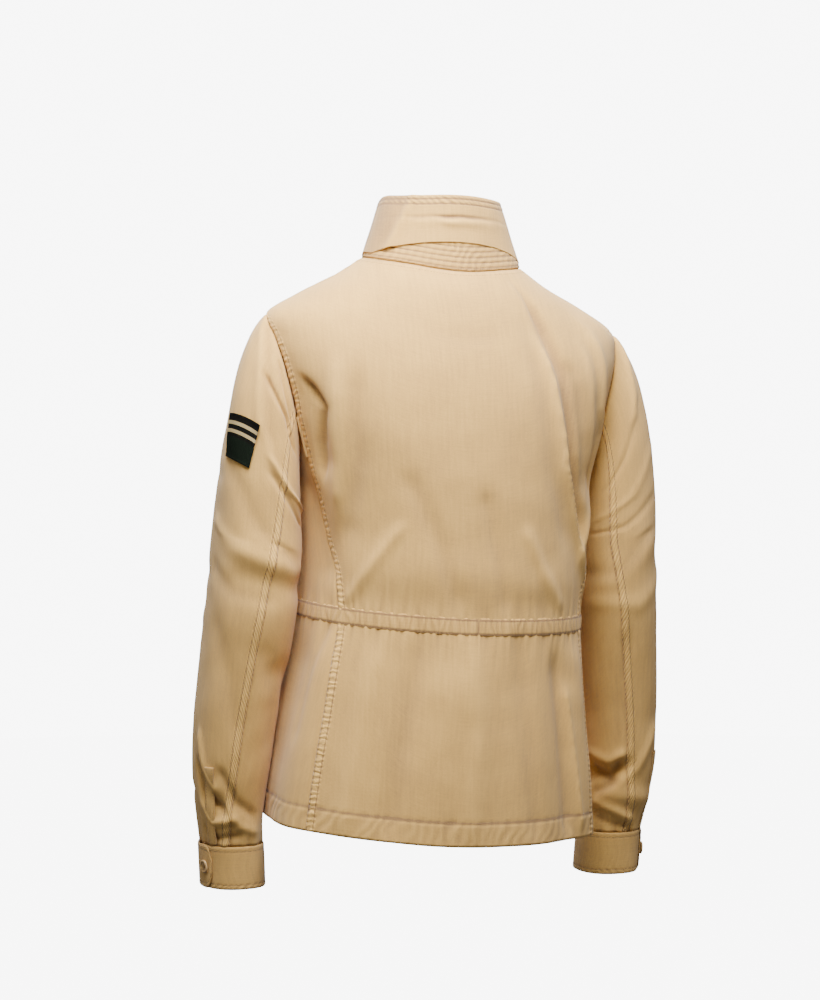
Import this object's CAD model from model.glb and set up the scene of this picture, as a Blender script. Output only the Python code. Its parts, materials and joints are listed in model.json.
# %% [markdown]
# # A field jacket, worn, with nobody in it
#
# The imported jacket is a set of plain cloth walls. Here each wall gets a thin
# sheet of cotton canvas over it, with the creases, seams, puckers, stitches
# and buttons of the real thing. Everything is in metres, +Z is up, the front
# faces -Y and the wearer's left is +X.

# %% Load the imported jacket
import json
import math
from collections import namedtuple
from functools import partial
import bmesh
import bpy
from mathutils import Matrix, Vector, noise

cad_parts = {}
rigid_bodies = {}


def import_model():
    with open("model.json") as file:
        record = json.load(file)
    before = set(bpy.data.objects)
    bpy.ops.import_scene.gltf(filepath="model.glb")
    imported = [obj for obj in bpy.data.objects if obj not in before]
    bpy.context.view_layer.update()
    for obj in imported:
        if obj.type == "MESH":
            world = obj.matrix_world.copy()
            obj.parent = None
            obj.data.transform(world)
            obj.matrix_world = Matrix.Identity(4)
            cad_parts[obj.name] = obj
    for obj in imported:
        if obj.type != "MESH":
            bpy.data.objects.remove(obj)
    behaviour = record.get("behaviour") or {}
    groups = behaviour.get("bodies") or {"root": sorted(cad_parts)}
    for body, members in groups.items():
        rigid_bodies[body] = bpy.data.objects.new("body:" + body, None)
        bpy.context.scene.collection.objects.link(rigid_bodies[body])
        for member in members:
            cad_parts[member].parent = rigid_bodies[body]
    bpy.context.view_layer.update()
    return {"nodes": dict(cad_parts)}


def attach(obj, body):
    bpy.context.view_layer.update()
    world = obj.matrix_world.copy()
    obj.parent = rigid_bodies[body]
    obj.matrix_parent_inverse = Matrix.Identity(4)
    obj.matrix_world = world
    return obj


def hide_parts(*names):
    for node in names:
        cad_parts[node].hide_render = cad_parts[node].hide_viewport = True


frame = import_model()
print("packed nodes:", len(frame["nodes"]))

# %% [markdown]
# The camera stands behind the jacket, a little to the wearer's left and
# slightly above. A long lens from over four metres keeps the sleeves and the
# collar in true proportion, as a shop picture does.

# %% Camera
AZIMUTH = 160.0
ELEVATION = 5.0
DISTANCE = 4.2
AIM = Vector((0.0326, -0.0119, -0.2575))
METRES_ACROSS = 0.820 * 1.12
SENSOR_WIDTH = 36.0


def add_object(name, data):
    """A new object in the scene, for a mesh, a curve, a light or a camera."""
    thing = bpy.data.objects.new(name, data)
    bpy.context.scene.collection.objects.link(thing)
    return thing


def look_from(thing, azimuth, elevation, distance):
    """Put a camera or a light where it looks at the middle of the jacket."""
    turn = math.radians(azimuth)
    rise = math.radians(elevation)
    away = Vector((
        math.sin(turn) * math.cos(rise), -math.cos(turn) * math.cos(rise), math.sin(rise)))
    thing.location = AIM + away * distance
    thing.rotation_euler = away.to_track_quat("Z", "Y").to_euler()


lens = bpy.data.cameras.new("shop_camera")
lens.sensor_fit = "HORIZONTAL"
lens.sensor_width = SENSOR_WIDTH
lens.lens = SENSOR_WIDTH * DISTANCE / METRES_ACROSS
lens.clip_end = 30.0
camera = add_object("shop_camera", lens)
look_from(camera, AZIMUTH, ELEVATION, DISTANCE)
bpy.context.scene.camera = camera
print("lens: %.0f mm" % lens.lens)

# %% [markdown]
# The light is a soft box high on the camera's side, a weak one on each flank,
# a wide one in front of the jacket that rims its shoulders, and a pale world
# that fills the shadows.

# %% Lights and world
SoftBox = namedtuple("SoftBox", "name azimuth elevation distance size watts")
SOFT_BOXES = (
    SoftBox("overhead_box", 160.0, 60.0, 1.15, 0.7, 56.0),
    SoftBox("left_flank_box", 95.0, 42.0, 2.2, 0.9, 10.0),
    SoftBox("right_flank_box", 238.0, 34.0, 2.2, 0.9, 9.0),
    SoftBox("front_box", -12.0, 42.0, 2.6, 1.6, 95.0),
)
for box in SOFT_BOXES:
    light = bpy.data.lights.new(box.name, "AREA")
    light.size = box.size
    light.energy = box.watts
    look_from(add_object(box.name, light), box.azimuth, box.elevation, box.distance)

world = bpy.data.worlds.new("studio")
world.use_nodes = True
background = world.node_tree.nodes["Background"].inputs
background["Color"].default_value = (0.93, 0.93, 0.93, 1.0)
background["Strength"].default_value = 0.22
bpy.context.scene.world = world
print("soft boxes:", len(SOFT_BOXES))

# %% [markdown]
# ## The shape of the body
#
# A worn jacket keeps the shape of the person in it. Rings stacked from neck
# to hem say how wide and deep that shape is, and every panel of cloth is a
# patch on it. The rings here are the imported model's own, so the cloth lies
# where the solid walls are.

# %% Rings of the body
BODY_LENGTH = 0.627
CASING_TOP = 0.378
CASING_HEIGHT = 0.020
CASING_CALM = 0.032
ARMHOLE_TOP = 0.060
ARMHOLE_BOTTOM = 0.224
ARMHOLE_MIDDLE = 0.5 * (ARMHOLE_TOP + ARMHOLE_BOTTOM)
ARMHOLE_HALF = 0.5 * (ARMHOLE_BOTTOM - ARMHOLE_TOP)
ARMHOLE_MIDDLE_ANGLE = 96.0
ARMHOLE_HALF_ANGLE = 16.0
ARMHOLE_ROUNDNESS = 0.8
BACK_JOIN = 108.0
FRONT_JOIN = 250.0
MEAN_BODY_RADIUS = 0.150
SWELL_ANGLE = 118.0
SWELL_HALF_ANGLE = 24.0
SEAM_GAP = 0.0004
HALF_GAP = math.degrees(0.5 * SEAM_GAP / MEAN_BODY_RADIUS)
LAP = math.degrees(0.0016 / MEAN_BODY_RADIUS)
BODY_ROUND = math.radians(MEAN_BODY_RADIUS)  # metres round the body for each degree

# level is how far down the centre back the ring lies. tilt is the rise of the
# ring for each metre towards the wearer's left, and swell is how far the cloth
# stands out in front of the left arm.
Ring = namedtuple(
    "Ring", "name level side_z front_z half_width back_y front_y square shift_x tilt swell")
BODY_RINGS = (
    Ring("neck seam", 0.000, 0.008, -0.062, 0.0910, 0.0620, 0.074, 2.00, 0.000, 0.075, 0.000),
    Ring("yoke", 0.018, -0.013, -0.078, 0.1230, 0.0790, 0.088, 2.05, 0.000, 0.072, 0.000),
    Ring("mid shoulder", 0.036, -0.033, -0.090, 0.1610, 0.0890, 0.098, 2.00, 0.000, 0.068, 0.000),
    Ring("shoulder tip", 0.060, -0.058, -0.110, 0.2010, 0.0980, 0.107, 1.95, 0.000, 0.064, 0.000),
    Ring("blade top", 0.085, -0.083, -0.128, 0.2040, 0.1055, 0.115, 2.15, 0.000, 0.062, 0.000),
    Ring("blades", 0.120, -0.116, -0.152, 0.1970, 0.1130, 0.122, 2.30, 0.000, 0.062, 0.000),
    Ring("chest", 0.165, -0.162, -0.186, 0.1830, 0.1180, 0.128, 2.35, 0.000, 0.064, 0.000),
    Ring("armpit", 0.224, -0.222, -0.236, 0.1670, 0.1200, 0.130, 2.30, -0.001, 0.066, 0.004),
    Ring("ribs", 0.300, -0.297, -0.300, 0.1560, 0.1190, 0.124, 2.25, -0.002, 0.070, 0.012),
    Ring("waist", 0.388, -0.385, -0.380, 0.1590, 0.1180, 0.118, 2.20, -0.001, 0.070, 0.011),
    Ring("hips", 0.480, -0.476, -0.470, 0.1700, 0.1270, 0.127, 2.20, 0.006, 0.071, 0.008),
    Ring("low hips", 0.560, -0.554, -0.548, 0.1810, 0.1340, 0.134, 2.20, 0.012, 0.072, 0.003),
    Ring("hem", BODY_LENGTH, -0.6205, -0.615, 0.1870, 0.1380, 0.138, 2.20, 0.016, 0.072, 0.002),
)

# Seams down the body, as the angle from the centre back at each level.
SeamPoint = namedtuple("SeamPoint", "level angle")
SIDE_BACK_SEAM = (
    SeamPoint(0.165, 81.0),
    SeamPoint(0.225, 81.0),
    SeamPoint(0.300, 77.5),
    SeamPoint(0.340, 71.0),
    SeamPoint(0.388, 67.5),
    SeamPoint(0.480, 66.0),
    SeamPoint(BODY_LENGTH, 66.5),
)
SIDE_FRONT_SEAM = (
    SeamPoint(0.165, 111.0),
    SeamPoint(0.300, 114.0),
    SeamPoint(BODY_LENGTH, 115.0),
)

print("body rings:", len(BODY_RINGS))

# %% [markdown]
# The widest folds belong to the shape itself, so they are the same on every
# panel that they cross. The small creases come later, panel by panel.

# %% Wide folds of the body
# Each fold runs from one place to another; a negative depth is a trough.
# Angles are from the centre back, towards the wearer's left.
Fold = namedtuple("Fold", "name angle_1 level_1 angle_2 level_2 width depth")
BODY_FOLDS = (
    Fold("right back drape", -52, 0.120, -74, 0.345, 0.017, 0.0075),
    Fold("right back hollow", -42, 0.075, -64, 0.215, 0.022, -0.0060),
    Fold("right arm hollow", -86, 0.235, -84, 0.345, 0.020, -0.0050),
    Fold("left arm hollow", 72, 0.150, 70, 0.215, 0.011, -0.0050),
    Fold("left arm ridge", 62, 0.150, 66, 0.270, 0.015, 0.0035),
    Fold("left rib hollow", 84, 0.255, 76, 0.335, 0.020, -0.0050),
    Fold("back swell", -45, 0.340, 50, 0.340, 0.030, 0.0030),
    Fold("right skirt ridge", -58, 0.430, -66, 0.632, 0.020, 0.0055),
    Fold("right skirt hollow", -46, 0.450, -48, 0.632, 0.026, -0.0040),
    Fold("left skirt ridge", 72, 0.440, 74, 0.632, 0.022, 0.0045),
    Fold("left skirt hollow", 88, 0.450, 94, 0.632, 0.024, -0.0045),
    Fold("middle skirt wave", 12, 0.470, 16, 0.632, 0.034, 0.0030),
    Fold("middle skirt hollow", -20, 0.460, -18, 0.632, 0.030, -0.0025),
    Fold("left front ridge", 128, 0.200, 140, 0.350, 0.024, 0.0045),
    Fold("right front ridge", -126, 0.210, -138, 0.350, 0.024, 0.0045),
    Fold("left front skirt", 132, 0.430, 128, 0.632, 0.026, -0.0040),
    Fold("right front skirt", -130, 0.430, -128, 0.632, 0.026, -0.0040),
)


# %% [markdown]
# A value between two rings is eased, so that the surface has no corners at
# the rings. A fold is a soft bell-shaped ridge or trough about a line.

# %% Helpers for the shapes
def mix(start, end, t):
    return start + (end - start) * t


def spread(start, end, count):
    """count + 1 even values from start to end."""
    return [mix(start, end, step / count) for step in range(count + 1)]


def clamp(value):
    return min(max(value, 0.0), 1.0)


def eased(t):
    """A part from 0 to 1 that starts and ends gently."""
    return t * t * (3.0 - 2.0 * t)


def bell(value, width):
    """1 at zero, fading softly to nothing within a few widths."""
    return math.exp(-(value / width) ** 2)


def grid(firsts, seconds):
    """Rows of places, one row for each second value."""
    return [[(first, second) for first in firsts] for second in seconds]


def column_slope(keys, values, place):
    """How fast a column changes at a row, from its neighbours."""
    before = max(place - 1, 0)
    after = min(place + 1, len(keys) - 1)
    return (values[after] - values[before]) / (keys[after] - keys[before])


def hermite(start, end, start_pull, end_pull, t):
    """A cubic between two values, or two vectors, that leaves along the pulls."""
    blend = eased(t)
    leave = t * (1.0 - t) ** 2
    arrive = -t * t * (1.0 - t)
    return start * (1.0 - blend) + end * blend + start_pull * leave + end_pull * arrive


def smooth_row(rows, key, value):
    """The table row at a value of its key column, with the others eased between."""
    keys = [getattr(row, key) for row in rows]
    last = len(rows) - 1
    place = 0
    while place < last - 1 and (value - keys[place + 1]) * (keys[last] - keys[0]) > 0:
        place += 1
    span = keys[place + 1] - keys[place]
    t = (value - keys[place]) / span
    picked = {}
    for column in rows[0]._fields:
        if column != "name":
            values = [getattr(row, column) for row in rows]
            slopes = [column_slope(keys, values, near) * span for near in (place, place + 1)]
            picked[column] = hermite(values[place], values[place + 1], *slopes, t)
    return picked


def fold_height(across_1, along_1, across_2, along_2, width, depth, across, along):
    """Height at a place near one soft fold, all in metres on the flat cloth."""
    run_across = across_2 - across_1
    run_along = along_2 - along_1
    length = math.hypot(run_across, run_along)
    at = ((across - across_1) * run_across + (along - along_1) * run_along) / length
    off = ((across - across_1) * run_along - (along - along_1) * run_across) / length
    beyond = max(-at, at - length, 0.0)
    taper = 0.6 * width + 0.12 * length
    return depth * bell(off, width) * bell(beyond, taper)


def oval_radius(turn, half_width, half_depth, square):
    """Radius of a squared oval; the turn, in radians, starts at its depth."""
    wide = abs(math.sin(turn)) / half_width
    deep = abs(math.cos(turn)) / half_depth
    return (wide ** square + deep ** square) ** (-1.0 / square)


# %% A place on the body
def body_folds(angle, level):
    height = 0.0
    for fold in BODY_FOLDS:
        height += fold_height(
            fold.angle_1 * BODY_ROUND, fold.level_1, fold.angle_2 * BODY_ROUND, fold.level_2,
            fold.width, fold.depth, angle * BODY_ROUND, level)
    return height * (1.0 - bell(level - CASING_TOP - 0.5 * CASING_HEIGHT, CASING_CALM))


def body_point(angle, level):
    """A place on the body, angle degrees round from the centre back."""
    ring = smooth_row(BODY_RINGS, "level", level)
    turn = math.radians(angle)
    deep = math.cos(turn)
    depth = ring["back_y"] if deep > 0.0 else ring["front_y"]
    radius = oval_radius(turn, ring["half_width"], depth, ring["square"])
    radius += body_folds(angle, level) + ring["swell"] * bell(angle - SWELL_ANGLE, SWELL_HALF_ANGLE)
    x = radius * math.sin(turn)
    y = radius * deep
    end_z = -level if deep > 0.0 else ring["front_z"]
    z = mix(ring["side_z"], end_z, deep * deep) + ring["tilt"] * x
    return Vector((x + ring["shift_x"], y, z))


def armhole_place(turn):
    """Angle and level of the armhole, turn degrees from its top towards the back."""
    sideways = math.sin(math.radians(turn))
    swing = math.copysign(abs(sideways) ** ARMHOLE_ROUNDNESS, sideways)
    angle = ARMHOLE_MIDDLE_ANGLE - ARMHOLE_HALF_ANGLE * swing
    return angle, ARMHOLE_MIDDLE - ARMHOLE_HALF * math.cos(math.radians(turn))


def seam_angle(seam, level):
    return smooth_row(seam, "level", level)["angle"]


print("hem at the centre back: %.3f m" % body_point(0.0, BODY_LENGTH).z)

# %% [markdown]
# ## The shape of the sleeves
#
# A sleeve leaves the armhole nearly level at the shoulder, turns down over
# the arm and then follows a slightly bent tube to the wrist.

# %% Sections of the sleeve
# These are for the wearer's left. outer and inner are the half-widths away
# from and towards the body; half_depth is front to back.
Tube = namedtuple("Tube", "name z x y outer inner half_depth tilt seam_angle")
SLEEVE_TUBES = (
    Tube("biceps", -0.300, 0.2060, -0.026, 0.0500, 0.0440, 0.0640, 0.22, 99.0),
    Tube("elbow", -0.372, 0.2120, -0.030, 0.0500, 0.0455, 0.0620, 0.08, 92.0),
    Tube("forearm", -0.440, 0.2200, -0.040, 0.0480, 0.0455, 0.0580, 0.00, 90.0),
    Tube("mid forearm", -0.500, 0.2270, -0.047, 0.0460, 0.0432, 0.0540, 0.00, 89.0),
    Tube("low forearm", -0.560, 0.2310, -0.051, 0.0425, 0.0390, 0.0490, 0.00, 86.0),
    Tube("wrist", -0.605, 0.2310, -0.055, 0.0370, 0.0350, 0.0440, 0.00, 80.0),
    Tube("cuff seam", -0.637, 0.2290, -0.058, 0.0340, 0.0330, 0.0400, 0.00, 76.0),
)
SLEEVE_SQUARE = 2.3
ROOT_PULL_TOP = 0.175
ROOT_PULL_UNDER = 0.070
ARMPIT_CLEARANCE = 0.0015
MEAN_SLEEVE_RADIUS = 0.052
SLEEVE_ROUND = math.radians(MEAN_SLEEVE_RADIUS)  # metres round a sleeve for each degree
ARM_BACK_IN = -0.140

# What differs between the two sleeves: how far they reach down, how far the
# arm is turned, and how far it is held out.
Side = namedtuple("Side", "letter sign reach turn out")
SIDES = (
    Side("L", 1.0, 1.003, -8.0, 0.0),
    Side("R", -1.0, 1.021, 8.0, 0.0055),
)

# Largest folds of the sleeves. around is in degrees from the outside of the
# arm towards the back; down is in metres below the origin.
SleeveFold = namedtuple("SleeveFold", "name side around_1 down_1 around_2 down_2 width depth")
SLEEVE_FOLDS = (
    SleeveFold("left elbow ridge", "L", 60, 0.310, 120, 0.322, 0.011, 0.0030),
    SleeveFold("left elbow hollow", "L", 60, 0.338, 130, 0.345, 0.012, -0.0030),
    SleeveFold("left forearm hollow", "L", 120, 0.440, 160, 0.470, 0.016, -0.0030),
    SleeveFold("left wrist hollow", "L", 20, 0.560, 60, 0.590, 0.012, -0.0030),
    SleeveFold("left front elbow", "L", 210, 0.350, 300, 0.370, 0.014, -0.0040),
    SleeveFold("right elbow ridge", "R", 40, 0.300, 110, 0.340, 0.014, 0.0025),
    SleeveFold("right wrist hollow", "R", 100, 0.565, 170, 0.575, 0.012, -0.0050),
    SleeveFold("right wrist ridge", "R", 60, 0.600, 150, 0.590, 0.011, 0.0035),
    SleeveFold("right front elbow", "R", 210, 0.350, 300, 0.370, 0.014, -0.0040),
)


def mirrored(point, side):
    return Vector((side.sign * point.x, point.y, point.z))


def sleeve_folds(side, turn, down):
    height = 0.0
    for fold in SLEEVE_FOLDS:
        if fold.side == side.letter:
            height += fold_height(
                fold.around_1 * SLEEVE_ROUND, fold.down_1, fold.around_2 * SLEEVE_ROUND,
                fold.down_2, fold.width, fold.depth, (turn % 360.0) * SLEEVE_ROUND, down)
    return height


def arm_radius(turn, outer, inner, half_depth):
    """Radius of a sleeve or cuff, turn degrees from the outside to the back."""
    half_width = outer if math.cos(math.radians(turn)) > 0.0 else inner
    return oval_radius(math.radians(90.0 - turn), half_width, half_depth, SLEEVE_SQUARE)


def tube_point(side, turn, z):
    """Outer face of the sleeve's tube, turn degrees from the outside to the back."""
    tube = smooth_row(SLEEVE_TUBES, "z", z)
    radius = arm_radius(turn, tube["outer"], tube["inner"], tube["half_depth"])
    radius += sleeve_folds(side, turn, -z)
    outwards = radius * math.cos(math.radians(turn))
    backwards = radius * math.sin(math.radians(turn))
    held_out = side.out * min(1.0, (SLEEVE_TUBES[-1].z - z) / ARM_BACK_IN)
    return mirrored(Vector((
        tube["x"] + held_out + outwards, tube["y"] + backwards,
        z * side.reach + tube["tilt"] * outwards)), side)


def root_point(side, turn, t):
    """The sleeve between the armhole (t = 0) and the top of its tube (t = 1)."""
    hole_angle, hole_level = armhole_place(turn)
    start = body_point(side.sign * hole_angle, hole_level)
    top = 0.5 + 0.5 * math.cos(math.radians(turn))
    sideways = math.sin(math.radians(turn))
    away = mirrored(Vector((mix(0.12, 0.80, top), 0.30 * sideways, -mix(1.0, 0.60, top))), side)
    start += away * SEAM_GAP + mirrored(Vector((ARMPIT_CLEARANCE * (1.0 - top), 0.0, 0.0)), side)
    end = tube_point(side, turn, SLEEVE_TUBES[0].z)
    pull = mix(ROOT_PULL_UNDER, ROOT_PULL_TOP, top)
    below = tube_point(side, turn, SLEEVE_TUBES[0].z - 0.01) - end
    return hermite(start, end, away * pull, below.normalized() * pull, t)


def sleeve_turn(side, turn, t):
    """Turns the columns so that the back seam follows its place on the sleeve."""
    z = SLEEVE_TUBES[0].z if t <= 1.0 else sleeve_z(t)
    seam = smooth_row(SLEEVE_TUBES, "z", z)["seam_angle"] + side.turn
    seam = mix(BACK_JOIN, seam, min(t, 1.0))
    if turn <= BACK_JOIN:
        return turn * seam / BACK_JOIN if turn > 0.0 else turn
    return mix(seam, FRONT_JOIN, (turn - BACK_JOIN) / (FRONT_JOIN - BACK_JOIN))


def sleeve_z(t):
    return mix(SLEEVE_TUBES[0].z, SLEEVE_TUBES[-1].z, t - 1.0)


def sleeve_point(side, turn, t):
    """The whole sleeve: t runs 0 to 1 down its root and 1 to 2 down its tube."""
    if t <= 1.0:
        return root_point(side, turn, t)
    return tube_point(side, turn, sleeve_z(t))


print("left cuff seam at %.3f m" % sleeve_point(SIDES[0], 0.0, 2.0).z)

# %% [markdown]
# ## A sheet of cloth
#
# Every panel is cut the same way. Its rows and columns of places are put on
# the shape, the direction of the cloth's face is read from the neighbours,
# and a relief lifts or lowers each place: creases, puckers and the step of a
# seam. A Solidify modifier then gives the sheet its thickness. The cloth also
# carries two maps in metres, one that the weave follows and one that tells how
# far the nearest roping seam is, and a number called worn, which says where
# washing has faded or darkened it. A relief gives the height and the worn
# value, and beside a roping seam also the places on the second map.

# %% One sheet of cloth
CLOTH_THICKNESS = 0.0011
SEAM_MAP_REACH = 0.05
Spot = namedtuple("Spot", "first second left right top bottom point")
Sheet = namedtuple("Sheet", "piece corners across down")
SHEETS = {}


def distances(points):
    """How far each place is along its row and down its column, in metres."""
    across = []
    for row in points:
        run = [0.0]
        for before, after in zip(row, row[1:]):
            run.append(run[-1] + (after - before).length)
        across.append(run)
    down = [[0.0] * len(points[0])]
    for upper, lower in zip(points, points[1:]):
        down.append([run + (b - a).length for run, a, b in zip(down[-1], upper, lower)])
    return across, down


def face_direction(points, row, column, outward):
    """The outward direction of the cloth at one place."""
    last_row = len(points) - 1
    last_column = len(points[0]) - 1
    here = points[row]
    across = here[min(column + 1, last_column)] - here[max(column - 1, 0)]
    down = points[min(row + 1, last_row)][column] - points[max(row - 1, 0)][column]
    return across.cross(down).normalized() * outward


def lay_cloth(name, places, shape, relief, outward=1.0, lift=0.0, thickness=CLOTH_THICKNESS):
    """A thin sheet over rows of places, with its relief, map and worn values."""
    points = [[shape(*place) for place in row] for row in places]
    across, down = distances(points)
    corners = []
    worn = []
    flat = []
    seams = []
    for r, row in enumerate(points):
        for c, point in enumerate(row):
            spot = Spot(
                places[r][c][0], places[r][c][1],
                across[r][c], across[r][-1] - across[r][c],
                down[r][c], down[-1][c] - down[r][c], point)
            height, shade, near, along = (*relief(spot), 1.0, 0.0)[:4]
            corners.append(point + face_direction(points, r, c, outward) * (height + lift))
            worn.append(shade)
            flat.append((across[r][c] - 0.5 * across[r][-1], -down[r][c]))
            seams.append((min(near, SEAM_MAP_REACH), along))
    wide = len(points[0])
    faces = []
    for r in range(len(points) - 1):
        for c in range(wide - 1):
            face = (r * wide + c, r * wide + c + 1, (r + 1) * wide + c + 1, (r + 1) * wide + c)
            faces.append(face if outward > 0.0 else face[::-1])
    mesh = bpy.data.meshes.new(name)
    mesh.from_pydata(corners, [], faces)
    for map_name, values in (("cloth_map", flat), ("seam_map", seams)):
        layer = mesh.uv_layers.new(name=map_name)
        for loop in mesh.loops:
            layer.data[loop.index].uv = values[loop.vertex_index]
    mesh.attributes.new("worn", "FLOAT", "POINT").data.foreach_set("value", worn)
    mesh.shade_smooth()
    piece = add_object(name, mesh)
    wall = piece.modifiers.new("Cloth thickness", "SOLIDIFY")
    wall.thickness = thickness
    wall.offset = -1.0
    laid = [corners[r * wide:(r + 1) * wide] for r in range(len(points))]
    SHEETS[name] = Sheet(piece, laid, across, down)
    return piece


# %% [markdown]
# Columns are packed closer beside the seams, where the puckers are small, and
# spaced wider over the plain middle of a panel.

# %% Spacing of the columns
COLUMN_EASE = 0.55


def seam_dense(count):
    """count + 1 values from 0 to 1, closer together at both ends."""
    return [mix(step, eased(step), COLUMN_EASE) for step in spread(0.0, 1.0, count)]


# %% [markdown]
# ## Seams that rope
#
# A lapped seam is several layers thick and sewn tight. When the jacket is
# washed the thread stays short and the cloth swells, so the band beside the
# seam puckers into small slanting ripples, like a rope. The seam line itself
# is a narrow groove, and the outer stitch row is a second, finer one.

# %% Relief beside a seam
SEAM_BAND = 0.0095
RIPPLE_LENGTH = 0.0085
RIPPLE_DEPTH = 0.00040


def summed(*reliefs):
    """Heights and worn values added up."""
    return sum(height for height, _ in reliefs), sum(shade for _, shade in reliefs)


def window(value, start, end, soft):
    """1 between start and end, fading to 0 over the soft distance."""
    rise = eased(clamp((value - start) / soft + 0.5))
    return rise * eased(clamp((end - value) / soft + 0.5))


def ripple(near, along, seed, length=RIPPLE_LENGTH, slant=0.55):
    """An uneven wave along a seam, from -1 to 1."""
    wander = noise.noise(Vector((along * 46.0, seed * 7.3, near * 60.0)))
    swell = noise.noise(Vector((along * 28.0, seed * 3.1 + 40.0, 0.0)))
    wave = math.sin(math.tau * ((along + slant * near) / length + 0.75 * wander))
    return wave * min(max(0.62 + 0.9 * swell, 0.08), 1.15)


def seam_relief(near, along, seed, depth=RIPPLE_DEPTH, band=SEAM_BAND):
    """Height and worn value beside a seam, near metres from its line."""
    if near > 2.2 * band:
        return 0.0, 0.0
    groove = bell(near, 0.0009)
    stitched = bell(near - band, 0.0009)
    layers = window(near, 0.0012, band, 0.0018)
    ripples = window(near, 0.0014, band + 0.0012, 0.0040)
    wave = ripple(near, along, seed)
    height = -0.0002 * groove - 0.00030 * stitched + 0.00045 * layers + depth * ripples * wave
    return height, -0.10 * groove - 0.08 * stitched + 0.04 * layers + 0.16 * ripples * wave


def hem_relief(near, along, seed, band):
    """A turned-up edge: a thicker band that ends at one stitch row."""
    if near > 1.6 * band:
        return 0.0, 0.0
    stitched = bell(near - band, 0.0011)
    layers = window(near, -0.01, band, 0.0020)
    wave = ripple(near, along, seed, 0.0125, 0.35)
    ripples = window(near, 0.001, band + 0.002, 0.010)
    height = -0.00050 * stitched + 0.00045 * layers + 0.00042 * ripples * wave
    return height, -0.85 * stitched + 0.04 * layers + 0.30 * ripples * wave


def cloth_unrest(point, seed):
    """The slight unevenness of cloth that hangs freely."""
    broad = noise.noise(point * 13.0 + Vector((seed, 0.0, 0.0)))
    middle = noise.noise(point * 34.0 + Vector((0.0, seed, 0.0)))
    return 0.0013 * broad + 0.00045 * middle


# %% [markdown]
# ## Creases placed by hand
#
# A crease is a line of places on a piece, with a width and a depth. It fades
# out beyond its ends. A soft crease is a bell across its line, and a crisp one
# comes to a narrow ridge, as where heavy cotton has broken over.

# %% Creases
Crease = namedtuple("Crease", "places width depth crisp", defaults=(False,))
WORN_BY_DEPTH = 62.0
SLEEVE_DOWN = 0.30


class CreaseSet:
    """The creases of one piece, with their places turned into metres."""

    def __init__(self, creases, first_scale, second_scale):
        self.first_scale = first_scale
        self.second_scale = second_scale
        self.lines = []
        for crease in creases:
            line = [(a * first_scale, b * second_scale) for a, b in crease.places]
            reach = 3.0 * crease.width + 0.03
            box = (
                min(x for x, _ in line) - reach, max(x for x, _ in line) + reach,
                min(y for _, y in line) - reach, max(y for _, y in line) + reach)
            total = sum(math.dist(a, b) for a, b in zip(line, line[1:]))
            self.lines.append((crease, line, box, total))

    def at(self, first, second):
        """Height and worn value of all the creases at a place."""
        x = first * self.first_scale
        y = second * self.second_scale
        height = 0.0
        for crease, line, box, total in self.lines:
            if box[0] < x < box[1] and box[2] < y < box[3]:
                off, beyond = nearest_on_line(line, x, y)
                across = math.exp(-off / crease.width) if crease.crisp else bell(off, crease.width)
                height += crease.depth * across * bell(beyond, 0.5 * crease.width + 0.10 * total)
        return height, WORN_BY_DEPTH * height


def nearest_on_line(line, x, y):
    """How far a place lies to the side of a line, and beyond its ends."""
    best = (1.0, 1.0)
    last = len(line) - 2
    for step in range(len(line) - 1):
        ax, ay = line[step]
        bx, by = line[step + 1]
        length = math.hypot(bx - ax, by - ay)
        along = ((x - ax) * (bx - ax) + (y - ay) * (by - ay)) / length
        inside = min(max(along, 0.0), length)
        gap = math.hypot(
            x - ax - (bx - ax) * inside / length, y - ay - (by - ay) * inside / length)
        beyond = 0.0
        if (step == 0 and along < 0.0) or (step == last and along > length):
            beyond = abs(along - inside)
            gap = math.sqrt(max(gap * gap - beyond * beyond, 0.0))
        if gap + beyond < best[0] + best[1]:
            best = (gap, beyond)
    return best


# %% [markdown]
# ## The back and the fronts
#
# The back hangs from the shoulders and folds towards the arms, most of all on
# the right, where the cloth that the arm doesn't fill drops in one long fold
# from the shoulder blade to the waist. The gathered waist makes short upright
# puckers above and below it. Below, the skirt of the jacket hangs in slow
# waves.

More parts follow.
